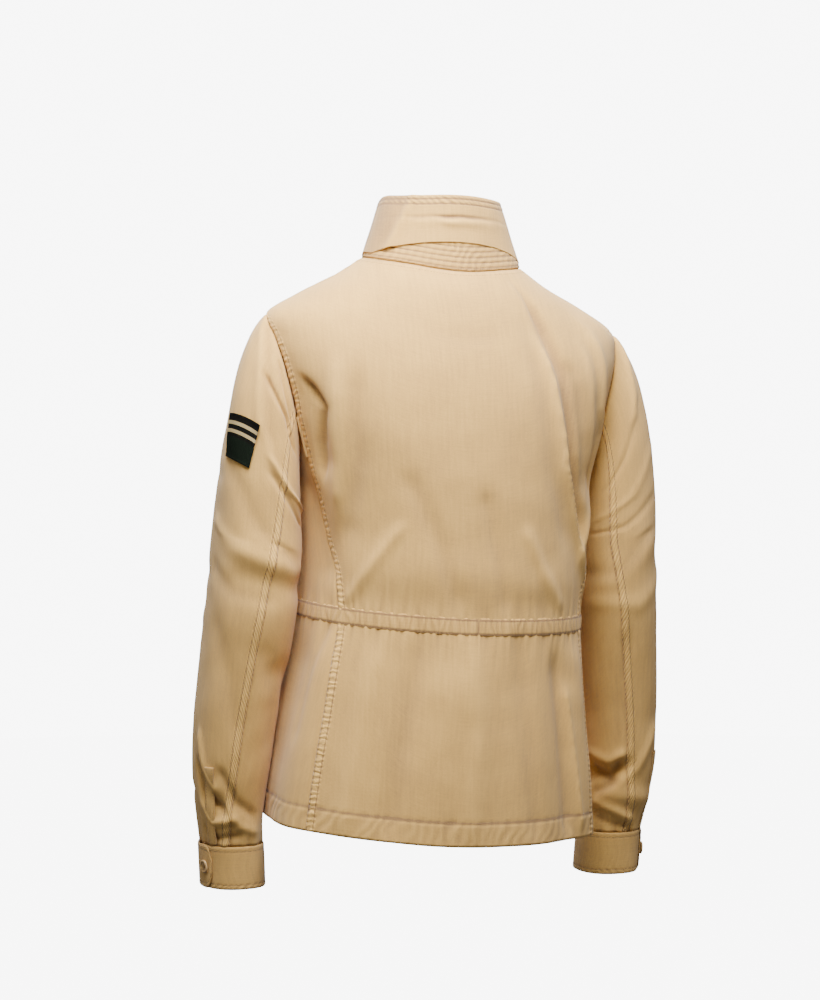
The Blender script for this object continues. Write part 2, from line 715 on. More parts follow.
# %% Creases of the body
BODY_CREASES = (
    Crease(((-67, 0.080), (-68, 0.120), (-69, 0.146), (-74, 0.175), (-74, 0.215),
            (-66, 0.290)), 0.0060, 0.0040),
    Crease(((-42.5, 0.100), (-43.8, 0.146), (-48.2, 0.211), (-56.5, 0.267),
            (-64.5, 0.314)), 0.0040, 0.0062, True),
    Crease(((-45.5, 0.050), (-46.5, 0.094), (-48.5, 0.140), (-52.5, 0.200),
            (-60, 0.262)), 0.0062, -0.0082),
    Crease(((-52.0, 0.110), (-56.0, 0.170), (-61.0, 0.230)), 0.0070, -0.0040),
    Crease(((-36.0, 0.105), (-37.0, 0.150), (-41.0, 0.215), (-49.0, 0.275)), 0.0120, -0.0024),
    Crease(((-60, 0.092), (-61, 0.140), (-65, 0.200)), 0.0060, 0.0026),
    Crease(((72, 0.140), (67, 0.160), (72, 0.200), (73, 0.225)), 0.0046, -0.0060),
    Crease(((62, 0.120), (62, 0.170), (66, 0.250)), 0.0080, 0.0034),
    Crease(((55, 0.140), (56, 0.215), (62, 0.285)), 0.0100, -0.0026),
    Crease(((34, 0.240), (22, 0.300), (14, 0.352)), 0.0130, -0.0020),
    Crease(((-4, 0.255), (-10, 0.310), (-14, 0.356)), 0.0120, -0.0022),
    Crease(((42, 0.290), (52, 0.325), (62, 0.362)), 0.0070, 0.0024),
    Crease(((-28, 0.290), (-36, 0.328), (-46, 0.360)), 0.0080, 0.0024),
    Crease(((20, 0.068), (6, 0.074), (-12, 0.070)), 0.0100, -0.0009),
    Crease(((-51.5, 0.470), (-55, 0.540), (-57.9, 0.600)), 0.0036, 0.0042, True),
    Crease(((-46, 0.440), (-49, 0.520), (-51, 0.600)), 0.0085, -0.0038),
    Crease(((30, 0.425), (33, 0.500), (36, 0.600)), 0.0140, -0.0030),
    Crease(((50, 0.440), (52, 0.520), (54, 0.600)), 0.0110, 0.0026),
    Crease(((2, 0.430), (-2, 0.500), (0, 0.600)), 0.0160, 0.0026),
    Crease(((-24, 0.420), (-27, 0.480), (-32, 0.600)), 0.0120, -0.0028),
    Crease(((74, 0.410), (78, 0.455), (80, 0.520)), 0.0070, -0.0020),
    Crease(((-76, 0.410), (-80, 0.460), (-82, 0.520)), 0.0070, -0.0020),
    Crease(((120, 0.215), (128, 0.250), (140, 0.275)), 0.0060, -0.0022),
    Crease(((118, 0.250), (130, 0.300), (136, 0.350)), 0.0080, -0.0020),
    Crease(((-120, 0.210), (-130, 0.250), (-142, 0.280)), 0.0060, -0.0022),
    Crease(((-118, 0.255), (-128, 0.310), (-134, 0.352)), 0.0080, -0.0020),
    Crease(((105, 0.080), (124, 0.110), (140, 0.120)), 0.0110, -0.0018),
    Crease(((-105, 0.080), (-124, 0.108), (-142, 0.120)), 0.0110, -0.0018),
    Crease(((130, 0.420), (126, 0.500), (124, 0.590)), 0.0120, -0.0018),
    Crease(((-132, 0.420), (-128, 0.500), (-126, 0.590)), 0.0120, -0.0018),
)
body_creases = CreaseSet(BODY_CREASES, BODY_ROUND, 1.0)
print("creases on the body:", len(BODY_CREASES))

# %% What every body panel has
HEM_BAND = 0.0260
CASING_MIDDLE = CASING_TOP + 0.5 * CASING_HEIGHT
BODY_UNREST = 3.0


def waist_gathers(angle, level):
    """Short upright puckers above and below the gathered waist."""
    off = abs(level - CASING_MIDDLE) - 0.5 * CASING_HEIGHT
    if off > 0.060:
        return 0.0, 0.0
    round_body = math.radians(angle) * MEAN_BODY_RADIUS
    wander = noise.noise(Vector((round_body * 42.0, level * 9.0, 5.0)))
    above_or_below = math.copysign(3.0, level - CASING_MIDDLE)
    swell = noise.noise(Vector((round_body * 19.0, 2.0, above_or_below)))
    long_wave = math.sin(math.tau * (round_body / 0.0170 + 1.1 * wander))
    short_wave = math.sin(math.tau * (round_body / 0.0078 + 0.8 * wander))
    reach = 0.020 + 0.018 * swell
    covered = max(0.0, 1.0 + min(off, 0.0) / 0.0040)
    fade = covered * math.exp(-max(off, 0.0) / reach)
    quick_fade = covered * math.exp(-max(off, 0.0) / 0.0065)
    size = 0.00055 * long_wave * fade + 0.00045 * short_wave * quick_fade
    return size, 0.16 * long_wave * fade + 0.16 * short_wave * quick_fade


def body_relief(spot, signed_angle, seed):
    """Creases, gathers, hem and unrest at one place of the body."""
    return summed(
        body_creases.at(signed_angle, spot.second), waist_gathers(signed_angle, spot.second),
        hem_relief(spot.bottom, signed_angle * BODY_ROUND, seed, HEM_BAND),
        (cloth_unrest(spot.point, BODY_UNREST), 0.0))


# %% [markdown]
# The outer edge of the back and of the fronts follows the shoulder seam, then
# the armhole, then the side seam, all the way down to the hem.

# %% Edges of the back and the fronts
JOIN_FADE = 0.080


def outer_edge(level, seam, join):
    """Angle of a panel's outer edge at a level, for join degrees round the armhole."""
    if level <= ARMHOLE_TOP:
        return ARMHOLE_MIDDLE_ANGLE
    join_angle, join_level = armhole_place(join)
    if level < join_level:
        up = max(-1.0, min(1.0, (ARMHOLE_MIDDLE - level) / ARMHOLE_HALF))
        turn = math.degrees(math.acos(up))
        return armhole_place(turn if join < 180.0 else 360.0 - turn)[0]
    miss = join_angle - seam_angle(seam, join_level)
    fade = max(0.0, 1.0 - (level - join_level) / JOIN_FADE)
    return seam_angle(seam, level) + miss * fade


BACK_COLUMNS = 138
BACK_ROWS = 215
NECK_BAND = 0.006

back_places = []
for level in spread(SEAM_GAP, BODY_LENGTH, BACK_ROWS):
    edge = outer_edge(level, SIDE_BACK_SEAM, BACK_JOIN) + LAP
    back_places.append([(mix(-edge, edge, part), level) for part in seam_dense(BACK_COLUMNS)])


def back_relief(spot):
    """Relief of the back, with a roping lap on the armhole and side seams."""
    relief = summed(
        body_relief(spot, spot.first, 1.0),
        seam_relief(spot.top, spot.left, 9.0, 0.0003, NECK_BAND),
        seam_relief(spot.left, spot.top, 2.0), seam_relief(spot.right, spot.top, 5.0))
    return *relief, min(spot.left, spot.right), spot.top


back = lay_cloth("back_cloth", back_places, body_point, back_relief)
print("back:", len(back.data.vertices), "places")

# %% [markdown]
# The fronts are the back's neighbours round the body. They are cut on the same
# levels, from the side seam to the centre front.

# %% The fronts
FRONT_COLUMNS = 58
FRONT_ROWS = 190


def side_point(side, angle, level):
    """A place on the body, mirrored in angle for the wearer's right."""
    return body_point(side.sign * angle, level)


def front_relief(side, spot):
    """Relief of one front."""
    relief = summed(
        body_relief(spot, side.sign * spot.first, 11.0 + side.sign),
        seam_relief(spot.left, spot.top, 14.0 + side.sign))
    return *relief, spot.left, spot.top


for side in SIDES:
    front_places = []
    last = 180.0 - HALF_GAP
    for level in spread(SEAM_GAP, BODY_LENGTH, FRONT_ROWS):
        edge = outer_edge(level, SIDE_FRONT_SEAM, FRONT_JOIN)
        edge += -LAP if level > ARMHOLE_TOP else HALF_GAP
        front_places.append([(mix(edge, last, part), level) for part in seam_dense(FRONT_COLUMNS)])
    lay_cloth(
        "front_cloth_" + side.letter, front_places, partial(side_point, side),
        partial(front_relief, side), side.sign)
print("cloths so far:", ", ".join(SHEETS))

# %% [markdown]
# A side panel lies under each arm. Its top edge is the lower half of the
# armhole, and it reaches the back and the front at its two long seams.

# %% The side panels
SIDE_COLUMNS = 44
SIDE_CHEST_ROWS = 84
SIDE_LOWER_ROWS = 84


def side_row(fraction_down, lower_level):
    """Places of one row of a side panel; lower_level is set below the waist."""
    back_join_level = armhole_place(BACK_JOIN)[1]
    front_join_level = armhole_place(FRONT_JOIN)[1]
    back_level = lower_level or mix(back_join_level, CASING_TOP, fraction_down)
    front_level = lower_level or mix(front_join_level, CASING_TOP, fraction_down)
    back_edge = outer_edge(back_level + 1e-6, SIDE_BACK_SEAM, BACK_JOIN) + HALF_GAP
    front_edge = outer_edge(front_level + 1e-6, SIDE_FRONT_SEAM, FRONT_JOIN) - HALF_GAP
    row = []
    for part in seam_dense(SIDE_COLUMNS):
        hole_angle, hole_level = armhole_place(mix(BACK_JOIN, FRONT_JOIN, part))
        angle = mix(back_edge, front_edge, part)
        if 0.0 < part < 1.0:
            angle = mix(hole_angle, angle, min(1.0, 2.0 * fraction_down))
        row.append((angle, lower_level or mix(hole_level, CASING_TOP, fraction_down)))
    return row


def side_relief(side, spot):
    """Relief of one side panel, whose long edges are tucked under its neighbours."""
    height, shade = body_relief(spot, side.sign * spot.first, 21.0 + side.sign)
    tucked = bell(spot.left, 0.0028) + bell(spot.right, 0.0028)
    return height - 0.0022 * tucked, shade - 0.20 * tucked


for side in SIDES:
    side_places = [side_row(down, None) for down in spread(0.0, 1.0, SIDE_CHEST_ROWS)]
    lower_levels = spread(CASING_TOP, BODY_LENGTH, SIDE_LOWER_ROWS)[1:]
    side_places += [side_row(1.0, level) for level in lower_levels]
    lay_cloth(
        "side_cloth_" + side.letter, side_places, partial(side_point, side),
        partial(side_relief, side), side.sign)
print("rows of a side panel:", len(side_places))

# %% [markdown]
# ## The sleeves
#
# Each sleeve is a wide top piece and a narrow under piece. The back seam
# ropes from the armhole to the wrist. The cloth breaks over at the armpit, at
# the elbow and above the cuff, where the slit lets it bunch.

# %% Creases of the sleeves
LEFT_SLEEVE_CREASES = (
    Crease(((18, 0.00), (40, 0.137), (51, 0.263), (60, 0.400)), 0.0070, 0.0029),
    Crease(((34, 0.05), (54, 0.16), (64, 0.27), (72, 0.40)), 0.0070, -0.0029),
    Crease(((62, 0.21), (78, 0.21), (94, 0.20), (108, 0.26)), 0.0060, -0.0037),
    Crease(((70, 0.06), (84, 0.10), (98, 0.14)), 0.0055, -0.0026),
    Crease(((84, 0.52), (105, 0.582), (120, 0.59), (140, 0.588)), 0.0058, 0.0026),
    Crease(((86, 0.59), (102, 0.640), (118, 0.697), (130, 0.73)), 0.0060, -0.0026),
    Crease(((14, 0.62), (45, 0.72), (74, 0.90)), 0.0120, -0.0016),
    Crease(((4, 0.93), (40, 1.02), (82, 1.06)), 0.0095, 0.0016),
    Crease(((10, 1.10), (50, 1.16), (90, 1.17)), 0.0085, -0.0018),
    Crease(((94, 0.98), (125, 1.08), (160, 1.14)), 0.0080, -0.0019),
    Crease(((30, 1.28), (54, 1.42), (72, 1.58)), 0.0105, -0.0016),
    Crease(((95, 1.36), (115, 1.50), (120, 1.64)), 0.0080, -0.0016),
    Crease(((16, 1.64), (30, 1.74), (48, 1.80)), 0.0048, 0.0034),
    Crease(((10, 1.74), (30, 1.83), (56, 1.86)), 0.0046, -0.0039),
    Crease(((22, 1.86), (44, 1.92), (72, 1.91)), 0.0042, 0.0031),
    Crease(((26, 1.95), (50, 1.975), (80, 1.965)), 0.0036, -0.0029),
    Crease(((60, 1.76), (80, 1.85), (104, 1.89)), 0.0050, -0.0027),
    Crease(((66, 1.86), (86, 1.93), (108, 1.95)), 0.0044, 0.0022),
    Crease(((-60, 0.60), (-30, 0.70), (0, 0.72)), 0.0100, -0.0010),
    Crease(((-90, 1.02), (-60, 1.10), (-20, 1.12)), 0.0080, -0.0014),
    Crease(((-100, 1.16), (-70, 1.24), (-35, 1.25)), 0.0080, 0.0012),
    Crease(((-80, 1.70), (-50, 1.80), (-20, 1.83)), 0.0060, -0.0019),
)
RIGHT_SLEEVE_CREASES = (
    Crease(((26, 0.03), (46, 0.16), (60, 0.32)), 0.0075, 0.0026),
    Crease(((56, 0.32), (84, 0.44), (106, 0.50)), 0.0075, -0.0010),
    Crease(((46, 0.58), (80, 0.70), (112, 0.72)), 0.0085, 0.0010),
    Crease(((54, 0.80), (92, 0.88), (124, 0.86)), 0.0075, -0.0010),
    Crease(((64, 1.00), (100, 1.10), (140, 1.10)), 0.0085, -0.0018),
    Crease(((36, 1.14), (80, 1.22), (130, 1.20)), 0.0085, 0.0016),
    Crease(((96, 1.36), (106, 1.52), (110, 1.68)), 0.0085, -0.0016),
    Crease(((108, 1.775), (120, 1.81), (146, 1.79)), 0.0058, -0.0051),
    Crease(((112, 1.825), (128, 1.845), (142, 1.86)), 0.0052, -0.0046),
    Crease(((84, 1.950), (110, 1.92), (140, 1.895)), 0.0046, 0.0039),
    Crease(((104, 1.73), (120, 1.755), (148, 1.73)), 0.0044, 0.0031),
    Crease(((80, 1.985), (104, 1.975), (130, 1.955)), 0.0036, -0.0027),
    Crease(((54, 1.66), (80, 1.78), (102, 1.82)), 0.0065, 0.0027),
    Crease(((-80, 0.95), (-50, 1.05), (-10, 1.08)), 0.0080, -0.0014),
    Crease(((-100, 1.12), (-60, 1.20), (-30, 1.20)), 0.0080, 0.0011),
    Crease(((-70, 1.72), (-40, 1.82), (-10, 1.84)), 0.0060, -0.0019),
)
sleeve_creases = {
    "L": CreaseSet(LEFT_SLEEVE_CREASES, SLEEVE_ROUND, SLEEVE_DOWN),
    "R": CreaseSet(RIGHT_SLEEVE_CREASES, SLEEVE_ROUND, SLEEVE_DOWN),
}
print("sleeve creases:", len(LEFT_SLEEVE_CREASES) + len(RIGHT_SLEEVE_CREASES))

# %% The sleeves
TOP_COLUMNS = 74
UNDER_COLUMNS = 38
SLEEVE_ROWS = 212
NARROW_SLEEVE_RADIUS = 0.045
SLEEVE_EASE = math.degrees(0.5 * SEAM_GAP / NARROW_SLEEVE_RADIUS)
SLEEVE_LAP = math.degrees(0.0013 / NARROW_SLEEVE_RADIUS)
PLEAT_ANGLE = 27.0


def sleeve_relief(side, top_piece, spot):
    """Relief of one piece of a sleeve."""
    turn = (spot.first + 120.0) % 360.0 - 120.0
    layers = [
        sleeve_creases[side.letter].at(turn, spot.second),
        (cloth_unrest(spot.point, 8.0 + side.sign), 0.0)]
    tucked = bell(spot.top, 0.0022)
    if top_piece:
        layers += [
            seam_relief(spot.right, spot.top, 31.0 + side.sign),
            seam_relief(spot.left, spot.top, 34.0 + side.sign)]
    else:
        tucked += bell(min(spot.left, spot.right), 0.0026)
    wander = noise.noise(Vector((turn * 0.05, 2.0, 35.0 + side.sign)))
    wave = math.sin(math.tau * (turn / PLEAT_ANGLE + 0.5 * wander))
    pleat = math.exp(-spot.bottom / 0.016) * wave
    layers += [(-0.0013 * tucked, -0.16 * tucked), (0.0010 * pleat, 0.12 * pleat)]
    return *summed(*layers), spot.right if top_piece else 1.0, spot.top


def sleeve_places(side, first, last, columns):
    """Rows of places of one piece of a sleeve, from the armhole to the cuff."""
    rows = []
    for t in spread(0.0, 2.0, SLEEVE_ROWS):
        ease = -SLEEVE_LAP if columns == TOP_COLUMNS else SLEEVE_EASE
        start = sleeve_turn(side, first, t) + ease
        end = sleeve_turn(side, last, t) - ease
        rows.append([(mix(start, end, part), t) for part in seam_dense(columns)])
    return rows


for side in SIDES:
    for key, first, last, columns in (
            ("top", FRONT_JOIN - 360.0, BACK_JOIN, TOP_COLUMNS),
            ("under", BACK_JOIN, FRONT_JOIN, UNDER_COLUMNS)):
        places = sleeve_places(side, first, last, columns)
        lay_cloth(
            "sleeve_%s_cloth_%s" % (key, side.letter), places, partial(sleeve_point, side),
            partial(sleeve_relief, side, key == "top"), -side.sign)
print("columns of a sleeve:", TOP_COLUMNS + UNDER_COLUMNS)

# %% [markdown]
# ## Cuffs
#
# A cuff is a straight band of two layers. It laps over itself on the outside
# of the wrist and ends in a rounded tab with one button.

# %% Cuffs
CUFF_HEIGHT = 0.049
CUFF_OVERLAP = 34.0
CUFF_START = 4.0
CUFF_TAB_ROUND = 16.0
CUFF_TAB_SHAPE = 0.75
CUFF_BUTTON_INSET = 17.0
CUFF_CLIMB = 50.0
CUFF_EASE = 0.0012
CUFF_LEAN = 0.06
LAP_RISE = 0.0021
CUFF_ROWS = 34
CUFF_COLUMNS = 250
CUFF_FULL = 360.0 + CUFF_OVERLAP
CUFF_STITCH_INSET = 0.0055
TAB_END_GAP = 0.01


def cuff_point(side, turn, drop, rise):
    """A place on the cuff, drop metres below its seam with the sleeve."""
    tube = SLEEVE_TUBES[-1]
    radius = arm_radius(turn, tube.outer, tube.inner, tube.half_depth) + CUFF_EASE + rise
    x = tube.x + radius * math.cos(math.radians(turn)) - CUFF_LEAN * drop
    y = tube.y + radius * math.sin(math.radians(turn)) - CUFF_LEAN * drop
    return mirrored(Vector((x, y, tube.z * side.reach - SEAM_GAP - drop)), side)


def cuff_place(side, angle, part):
    """The cuff as places of angle along the band and part of its height."""
    into_round = max(0.0, 1.0 - (CUFF_FULL - angle) / CUFF_TAB_ROUND)
    rounded = 1.0 - math.sqrt(max(0.0, 1.0 - into_round ** 2))
    trim = 0.5 * CUFF_HEIGHT * CUFF_TAB_SHAPE * rounded
    climb = LAP_RISE * eased(clamp((angle - 360.0 + CUFF_CLIMB) / CUFF_CLIMB))
    return cuff_point(side, CUFF_START + angle, mix(trim, CUFF_HEIGHT - trim, part), climb)


def cuff_relief(spot):
    """A stitched, slightly puckered edge all round the band."""
    near = min(spot.top, spot.bottom, spot.right)
    edge = bell(near, 0.0010)
    stitched = bell(near - CUFF_STITCH_INSET, 0.0008)
    wave = ripple(near, spot.left + 2.0 * spot.top, 51.0, 0.0075)
    ripples = window(near, 0.0005, 0.0065, 0.003)
    height = 0.0004 - 0.0007 * edge - 0.0003 * stitched + 0.00028 * ripples * wave
    height += 0.6 * cloth_unrest(spot.point, 12.0)
    return height, -0.30 * edge - 0.30 * stitched + 0.30 * ripples * wave


cuff_angles = spread(0.0, CUFF_FULL, CUFF_COLUMNS)
cuff_angles[-1] -= TAB_END_GAP
for side in SIDES:
    lay_cloth(
        "cuff_cloth_" + side.letter, grid(cuff_angles, spread(0.0, 1.0, CUFF_ROWS)),
        partial(cuff_place, side), cuff_relief, -side.sign, thickness=0.0015)
print("a cuff is %.0f degrees long" % CUFF_FULL)

# %% [markdown]
# The slit above each cuff is faced with a narrow strip, which shows as a thin
# band on the outside of the sleeve.

# %% Sleeve plackets
PLACKET_MIDDLE = {"L": 40.0, "R": 44.0}
PLACKET_HALF_ANGLE = 9.0
PLACKET_TOP = 1.73
PLACKET_BOTTOM = 1.995
PLACKET_STITCH_INSET = 0.0022


def placket_relief(spot):
    """A strip with a rounded edge and a stitch row down each side."""
    near = min(spot.left, spot.right, spot.top)
    height = -0.0006 * bell(near, 0.0008) - 0.0003 * bell(near - PLACKET_STITCH_INSET, 0.0006)
    return height, -0.4 * bell(near, 0.001)


for side in SIDES:
    middle = PLACKET_MIDDLE[side.letter]
    angles = spread(middle - PLACKET_HALF_ANGLE, middle + PLACKET_HALF_ANGLE, 16)
    lay_cloth(
        "sleeve_placket_cloth_" + side.letter,
        grid(angles, spread(PLACKET_TOP, PLACKET_BOTTOM, 60)),
        partial(sleeve_point, side), placket_relief, -side.sign, lift=0.0018)
print("cloths so far:", len(SHEETS))

# %% [markdown]
# ## Collar
#
# The collar stands up. Its lower part, the stand, is stiffened by rows of
# stitching that run right round. The leaf above is two layers, folded at its
# top edge, and it breaks over along a soft line across the middle.

# %% Collar
STAND_HEIGHT = 0.031
COLLAR_TOP = 0.083
COLLAR_TOP_HALF_WIDTH = 0.062
COLLAR_TOP_BACK = 0.056
COLLAR_TOP_FRONT = 0.066
LEAF_END_ANGLE = 160.0
LEAF_DROP_ANGLE = 80.0
LEAF_LOW_SIDE = 0.005
LEAF_POINT_HEIGHT = 0.050
LEAF_ROLL = 0.005
LEAF_SIDE_DROP = 0.011
STAND_END = 167.9
STAND_ALLOWANCE = 0.0050
NECK_TUCK = 0.0026
LEAF_END = 156.0
LEAF_LIFT = 0.0012
STAND_STITCH_ROWS = (0.0030, 0.0088, 0.0146, 0.0204, 0.0262)
LEAF_STITCH_ROWS = (0.0045, 0.0100)


def collar_point(angle, height, rise=0.0):
    """A place round the neck, height metres above the neck seam."""
    up = height / COLLAR_TOP
    turn = math.radians(angle)
    neck = BODY_RINGS[0]
    half_width = mix(neck.half_width, COLLAR_TOP_HALF_WIDTH, up)
    if math.cos(turn) > 0.0:
        depth = mix(neck.back_y, COLLAR_TOP_BACK, up)
    else:
        depth = mix(neck.front_y, COLLAR_TOP_FRONT, up)
    tucked = clamp((0.0015 - height) / 0.0030)
    radius = oval_radius(turn, half_width, depth, 2.0) + rise - NECK_TUCK * tucked
    z = body_point(angle, 0.0).z * (1.0 - 0.35 * up) + height + SEAM_GAP
    return Vector((radius * math.sin(turn), radius * math.cos(turn), z))


def leaf_point(angle, part):
    """A place on the leaf, from its lower edge (0) to its top edge (1)."""
    far = abs(angle)
    drop = min(1.0, (far / LEAF_DROP_ANGLE) ** 2)
    low = mix(STAND_HEIGHT, LEAF_LOW_SIDE, drop)
    to_front = max(0.0, (far - LEAF_DROP_ANGLE) / (LEAF_END_ANGLE - LEAF_DROP_ANGLE))
    side_drop = LEAF_SIDE_DROP * math.sin(math.radians(angle)) ** 2
    high = mix(COLLAR_TOP, LEAF_POINT_HEIGHT, to_front ** 1.5) - side_drop
    return collar_point(angle, mix(low, high, part), LEAF_ROLL * to_front * part)


def stand_relief(spot):
    """Rows of stitching with the cloth puffed a little between them."""
    stitched = sum(bell(spot.second - row, 0.0009) for row in STAND_STITCH_ROWS)
    wave = ripple(spot.second, spot.left, 61.0, 0.0092, 1.3)
    height = -0.00060 * stitched + 0.00028 * wave + 0.5 * cloth_unrest(spot.point, 6.0)
    return height, -0.60 * stitched + 0.22 * wave


def leaf_relief(spot):
    """Stitched top edge, a broken-over middle and a soft lower lip."""
    stitched = sum(bell(spot.top - row, 0.0009) for row in LEAF_STITCH_ROWS)
    waves = window(spot.top, 0.001, 0.011, 0.004) * ripple(spot.top, spot.left, 66.0, 0.0080)
    height = 0.7 * cloth_unrest(spot.point, 5.0) - 0.0006 * bell(spot.top, 0.0012)
    height += -0.0005 * stitched + 0.00030 * waves
    shade = -0.80 * stitched + 0.30 * waves
    uneven = noise.noise(Vector((spot.left * 38.0, 4.0, 0.0)))
    middle = bell(spot.first - 4.0, 42.0) * (0.8 + 0.9 * uneven)
    line = 0.0245 + 0.0022 * uneven
    broken = bell(spot.top - line, 0.0022) * middle
    rolled = bell(spot.top - line - 0.0055, 0.0050) * middle
    height += -0.0022 * broken + 0.0022 * rolled
    shade += -0.85 * broken + 0.25 * rolled
    fold_angle = 50.0 + 16.0 * (1.0 - spot.second)
    fold = bell(spot.first - fold_angle, 4.5)
    turned = 1.0 / (1.0 + math.exp(-(spot.first - fold_angle - 3.0) / 2.0))
    height += 0.0026 * fold
    shade += 0.16 * fold - 0.42 * turned
    return height, shade


stand_places = grid(
    spread(-STAND_END, STAND_END, 230), spread(STAND_HEIGHT, -STAND_ALLOWANCE, 40))
lay_cloth("collar_stand_cloth", stand_places, collar_point, stand_relief, thickness=0.0014)
leaf_places = grid(spread(-LEAF_END, LEAF_END, 230), spread(1.0, 0.0, 56))
lay_cloth(
    "collar_leaf_cloth", leaf_places, leaf_point, leaf_relief, lift=LEAF_LIFT, thickness=0.0016)
print("collar: %.0f mm high at the back" % (1000.0 * COLLAR_TOP))

# %% [markdown]
# ## The gathered waist
#
# A strip of the same cloth is sewn round the waist along both its edges, and
# drawn up, so that it puffs and gathers into small upright pleats.

# %% Waist casing
FLY_HALF = 1.18
PANEL_COLUMNS = 7
CASING_PUFF = 0.0004


def front_angle(column, level):
    """Angle of a column of a front, counted from the centre front."""
    return 180.0 - column / PANEL_COLUMNS * (180.0 - outer_edge(level, SIDE_FRONT_SEAM, FRONT_JOIN))


def casing_point(angle, part):
    """A place on the casing, from its top edge to its bottom edge."""
    return body_point(angle, CASING_TOP + part * CASING_HEIGHT)


def casing_relief(spot):
    """A puffed channel with uneven upright gathers."""
    part = spot.second
    near = min(part, 1.0 - part) * CASING_HEIGHT
    puff = math.sin(math.pi * clamp(part)) ** 0.7
    along = math.radians(spot.first) * MEAN_BODY_RADIUS
    wander = noise.noise(Vector((along * 70.0, part * 0.9, 3.0)))
    swell = noise.noise(Vector((along * 33.0, part * 1.5, 8.0)))
    long_wave = math.sin(math.tau * (along / 0.0086 + 0.9 * wander + 0.12 * part))
    short_wave = math.sin(math.tau * (along / 0.0041 + 1.3 * swell))
    gathers = 0.62 * long_wave + 0.38 * short_wave
    stitched = bell(near - 0.0024, 0.0011)
    join = bell(along - 0.001, 0.0012)
    height = CASING_PUFF * puff + 0.00050 * gathers * (0.35 + 0.65 * puff) - 0.0003 * stitched
    height -= 0.0008 * join + 0.0009 * bell(near, 0.0012)
    height += cloth_unrest(spot.point, BODY_UNREST)
    crease, crease_shade = body_creases.at(spot.first, CASING_TOP + part * CASING_HEIGHT)
    return height + crease, crease_shade + 0.24 * gathers - 1.10 * stitched - 0.60 * join


casing_end = front_angle(FLY_HALF + 0.08, CASING_MIDDLE)
casing_places = grid(spread(-casing_end, casing_end, 600), spread(0.0, 1.0, 21))
lay_cloth(
    "waist_casing_cloth", casing_places, casing_point, casing_relief, lift=0.0006, thickness=0.0006)
print("casing reaches %.0f degrees from the centre back" % casing_end)

# %% [markdown]
# ## What lies on the fronts
#
# The fly is a doubled strip down the centre front. The pockets are patch
# pockets with pointed flaps. Each is laid over the cloth beneath it, and its
# edges are turned in and stitched close.

# %% Fly
FLY_STITCH_INSET = 0.0055
FLY_TOP = 0.0045
FLY_BOTTOM = 0.6255


def on_front(side_sign, column, level):
    """A place on a front by column, counted from the centre front, and level."""
    sign = side_sign or math.copysign(1.0, column)
    return body_point(sign * front_angle(abs(column), level), level)


def front_creases(column, level, point, sign):
    """The relief of the front beneath a place, so that layers follow it."""
    angle = sign * front_angle(abs(column), level)
    return summed(
        body_creases.at(angle, level), waist_gathers(angle, level),
        (cloth_unrest(point, BODY_UNREST), 0.0))


def edge_relief(near, along, seed, inset):
    """A turned edge with one stitch row close to it."""
    edge = bell(near, 0.0010)
    stitched = bell(near - inset, 0.0008)
    wave = ripple(near, along, seed, 0.0080)
    ripples = window(near, 0.0005, inset + 0.001, 0.0025)
    height = -0.0007 * edge - 0.0003 * stitched + 0.00022 * ripples * wave
    return height, -0.45 * edge - 0.25 * stitched + 0.25 * ripples * wave


def fly_relief(spot):
    """The fly's two long edges, on the creases of the fronts."""
    sign = math.copysign(1.0, spot.first)
    casing_bump = 0.0022 * bell(spot.second - CASING_MIDDLE, 0.0120)
    return summed(
        front_creases(spot.first, spot.second, spot.point, sign),
        edge_relief(min(spot.left, spot.right), spot.top, 71.0, FLY_STITCH_INSET),
        (casing_bump, 0.0))


fly_columns = [-column for column in spread(-FLY_HALF, FLY_HALF, 40)]
fly_places = grid(fly_columns, spread(FLY_TOP, FLY_BOTTOM, 220))
lay_cloth(
    "fly_cloth", fly_places, partial(on_front, 0.0), fly_relief, lift=0.0022, thickness=0.0016)
print("fly: %.0f mm long" % (1000.0 * (FLY_BOTTOM - FLY_TOP)))

# %% Pockets and flaps
Pocket = namedtuple("Pocket", "name inner_column outer_column top bottom flap")
POCKETS = (
    Pocket("chest_pocket", 1.6, 5.5, 0.1752, 0.2948, 0.2194),
    Pocket("hip_pocket", 1.8, 6.3, 0.4209, 0.5755, 0.4782),
)
FLAP_POINT = 0.0108
BAG_BELOW_FLAP = 0.0080
POCKET_STITCH_INSET = 0.0045


def pocket_relief(side, seed, spot):
    """Turned and stitched edges over the creases of the front."""
    near = min(spot.left, spot.right, spot.bottom, spot.top)
    return summed(
        front_creases(spot.first, spot.second, spot.point, side.sign),
        edge_relief(near, spot.left + spot.top, seed + side.sign, POCKET_STITCH_INSET))


for side in SIDES:
    shape = partial(on_front, side.sign)
    for pocket in POCKETS:
        columns = spread(pocket.outer_column, pocket.inner_column, 44)
        lay_cloth(
            pocket.name + "_cloth_" + side.letter,
            grid(columns, spread(pocket.top + BAG_BELOW_FLAP, pocket.bottom, 52)),
            shape, partial(pocket_relief, side, 81.0), side.sign, lift=0.0022)
        middle = 0.5 * (pocket.inner_column + pocket.outer_column)
        half = 0.5 * (pocket.outer_column - pocket.inner_column)
        flap_places = []
        for part in spread(0.0, 1.0, 26):
            lows = [pocket.flap + FLAP_POINT * (1.0 - abs(column - middle) / half)
                    for column in columns]
            flap_places.append(
                [(column, mix(pocket.top, low, part)) for column, low in zip(columns, lows)])
        lay_cloth(
            pocket.name + "_flap_cloth_" + side.letter, flap_places, shape,
            partial(pocket_relief, side, 85.0), side.sign, lift=0.0044, thickness=0.0015)
print("cloths so far:", len(SHEETS))

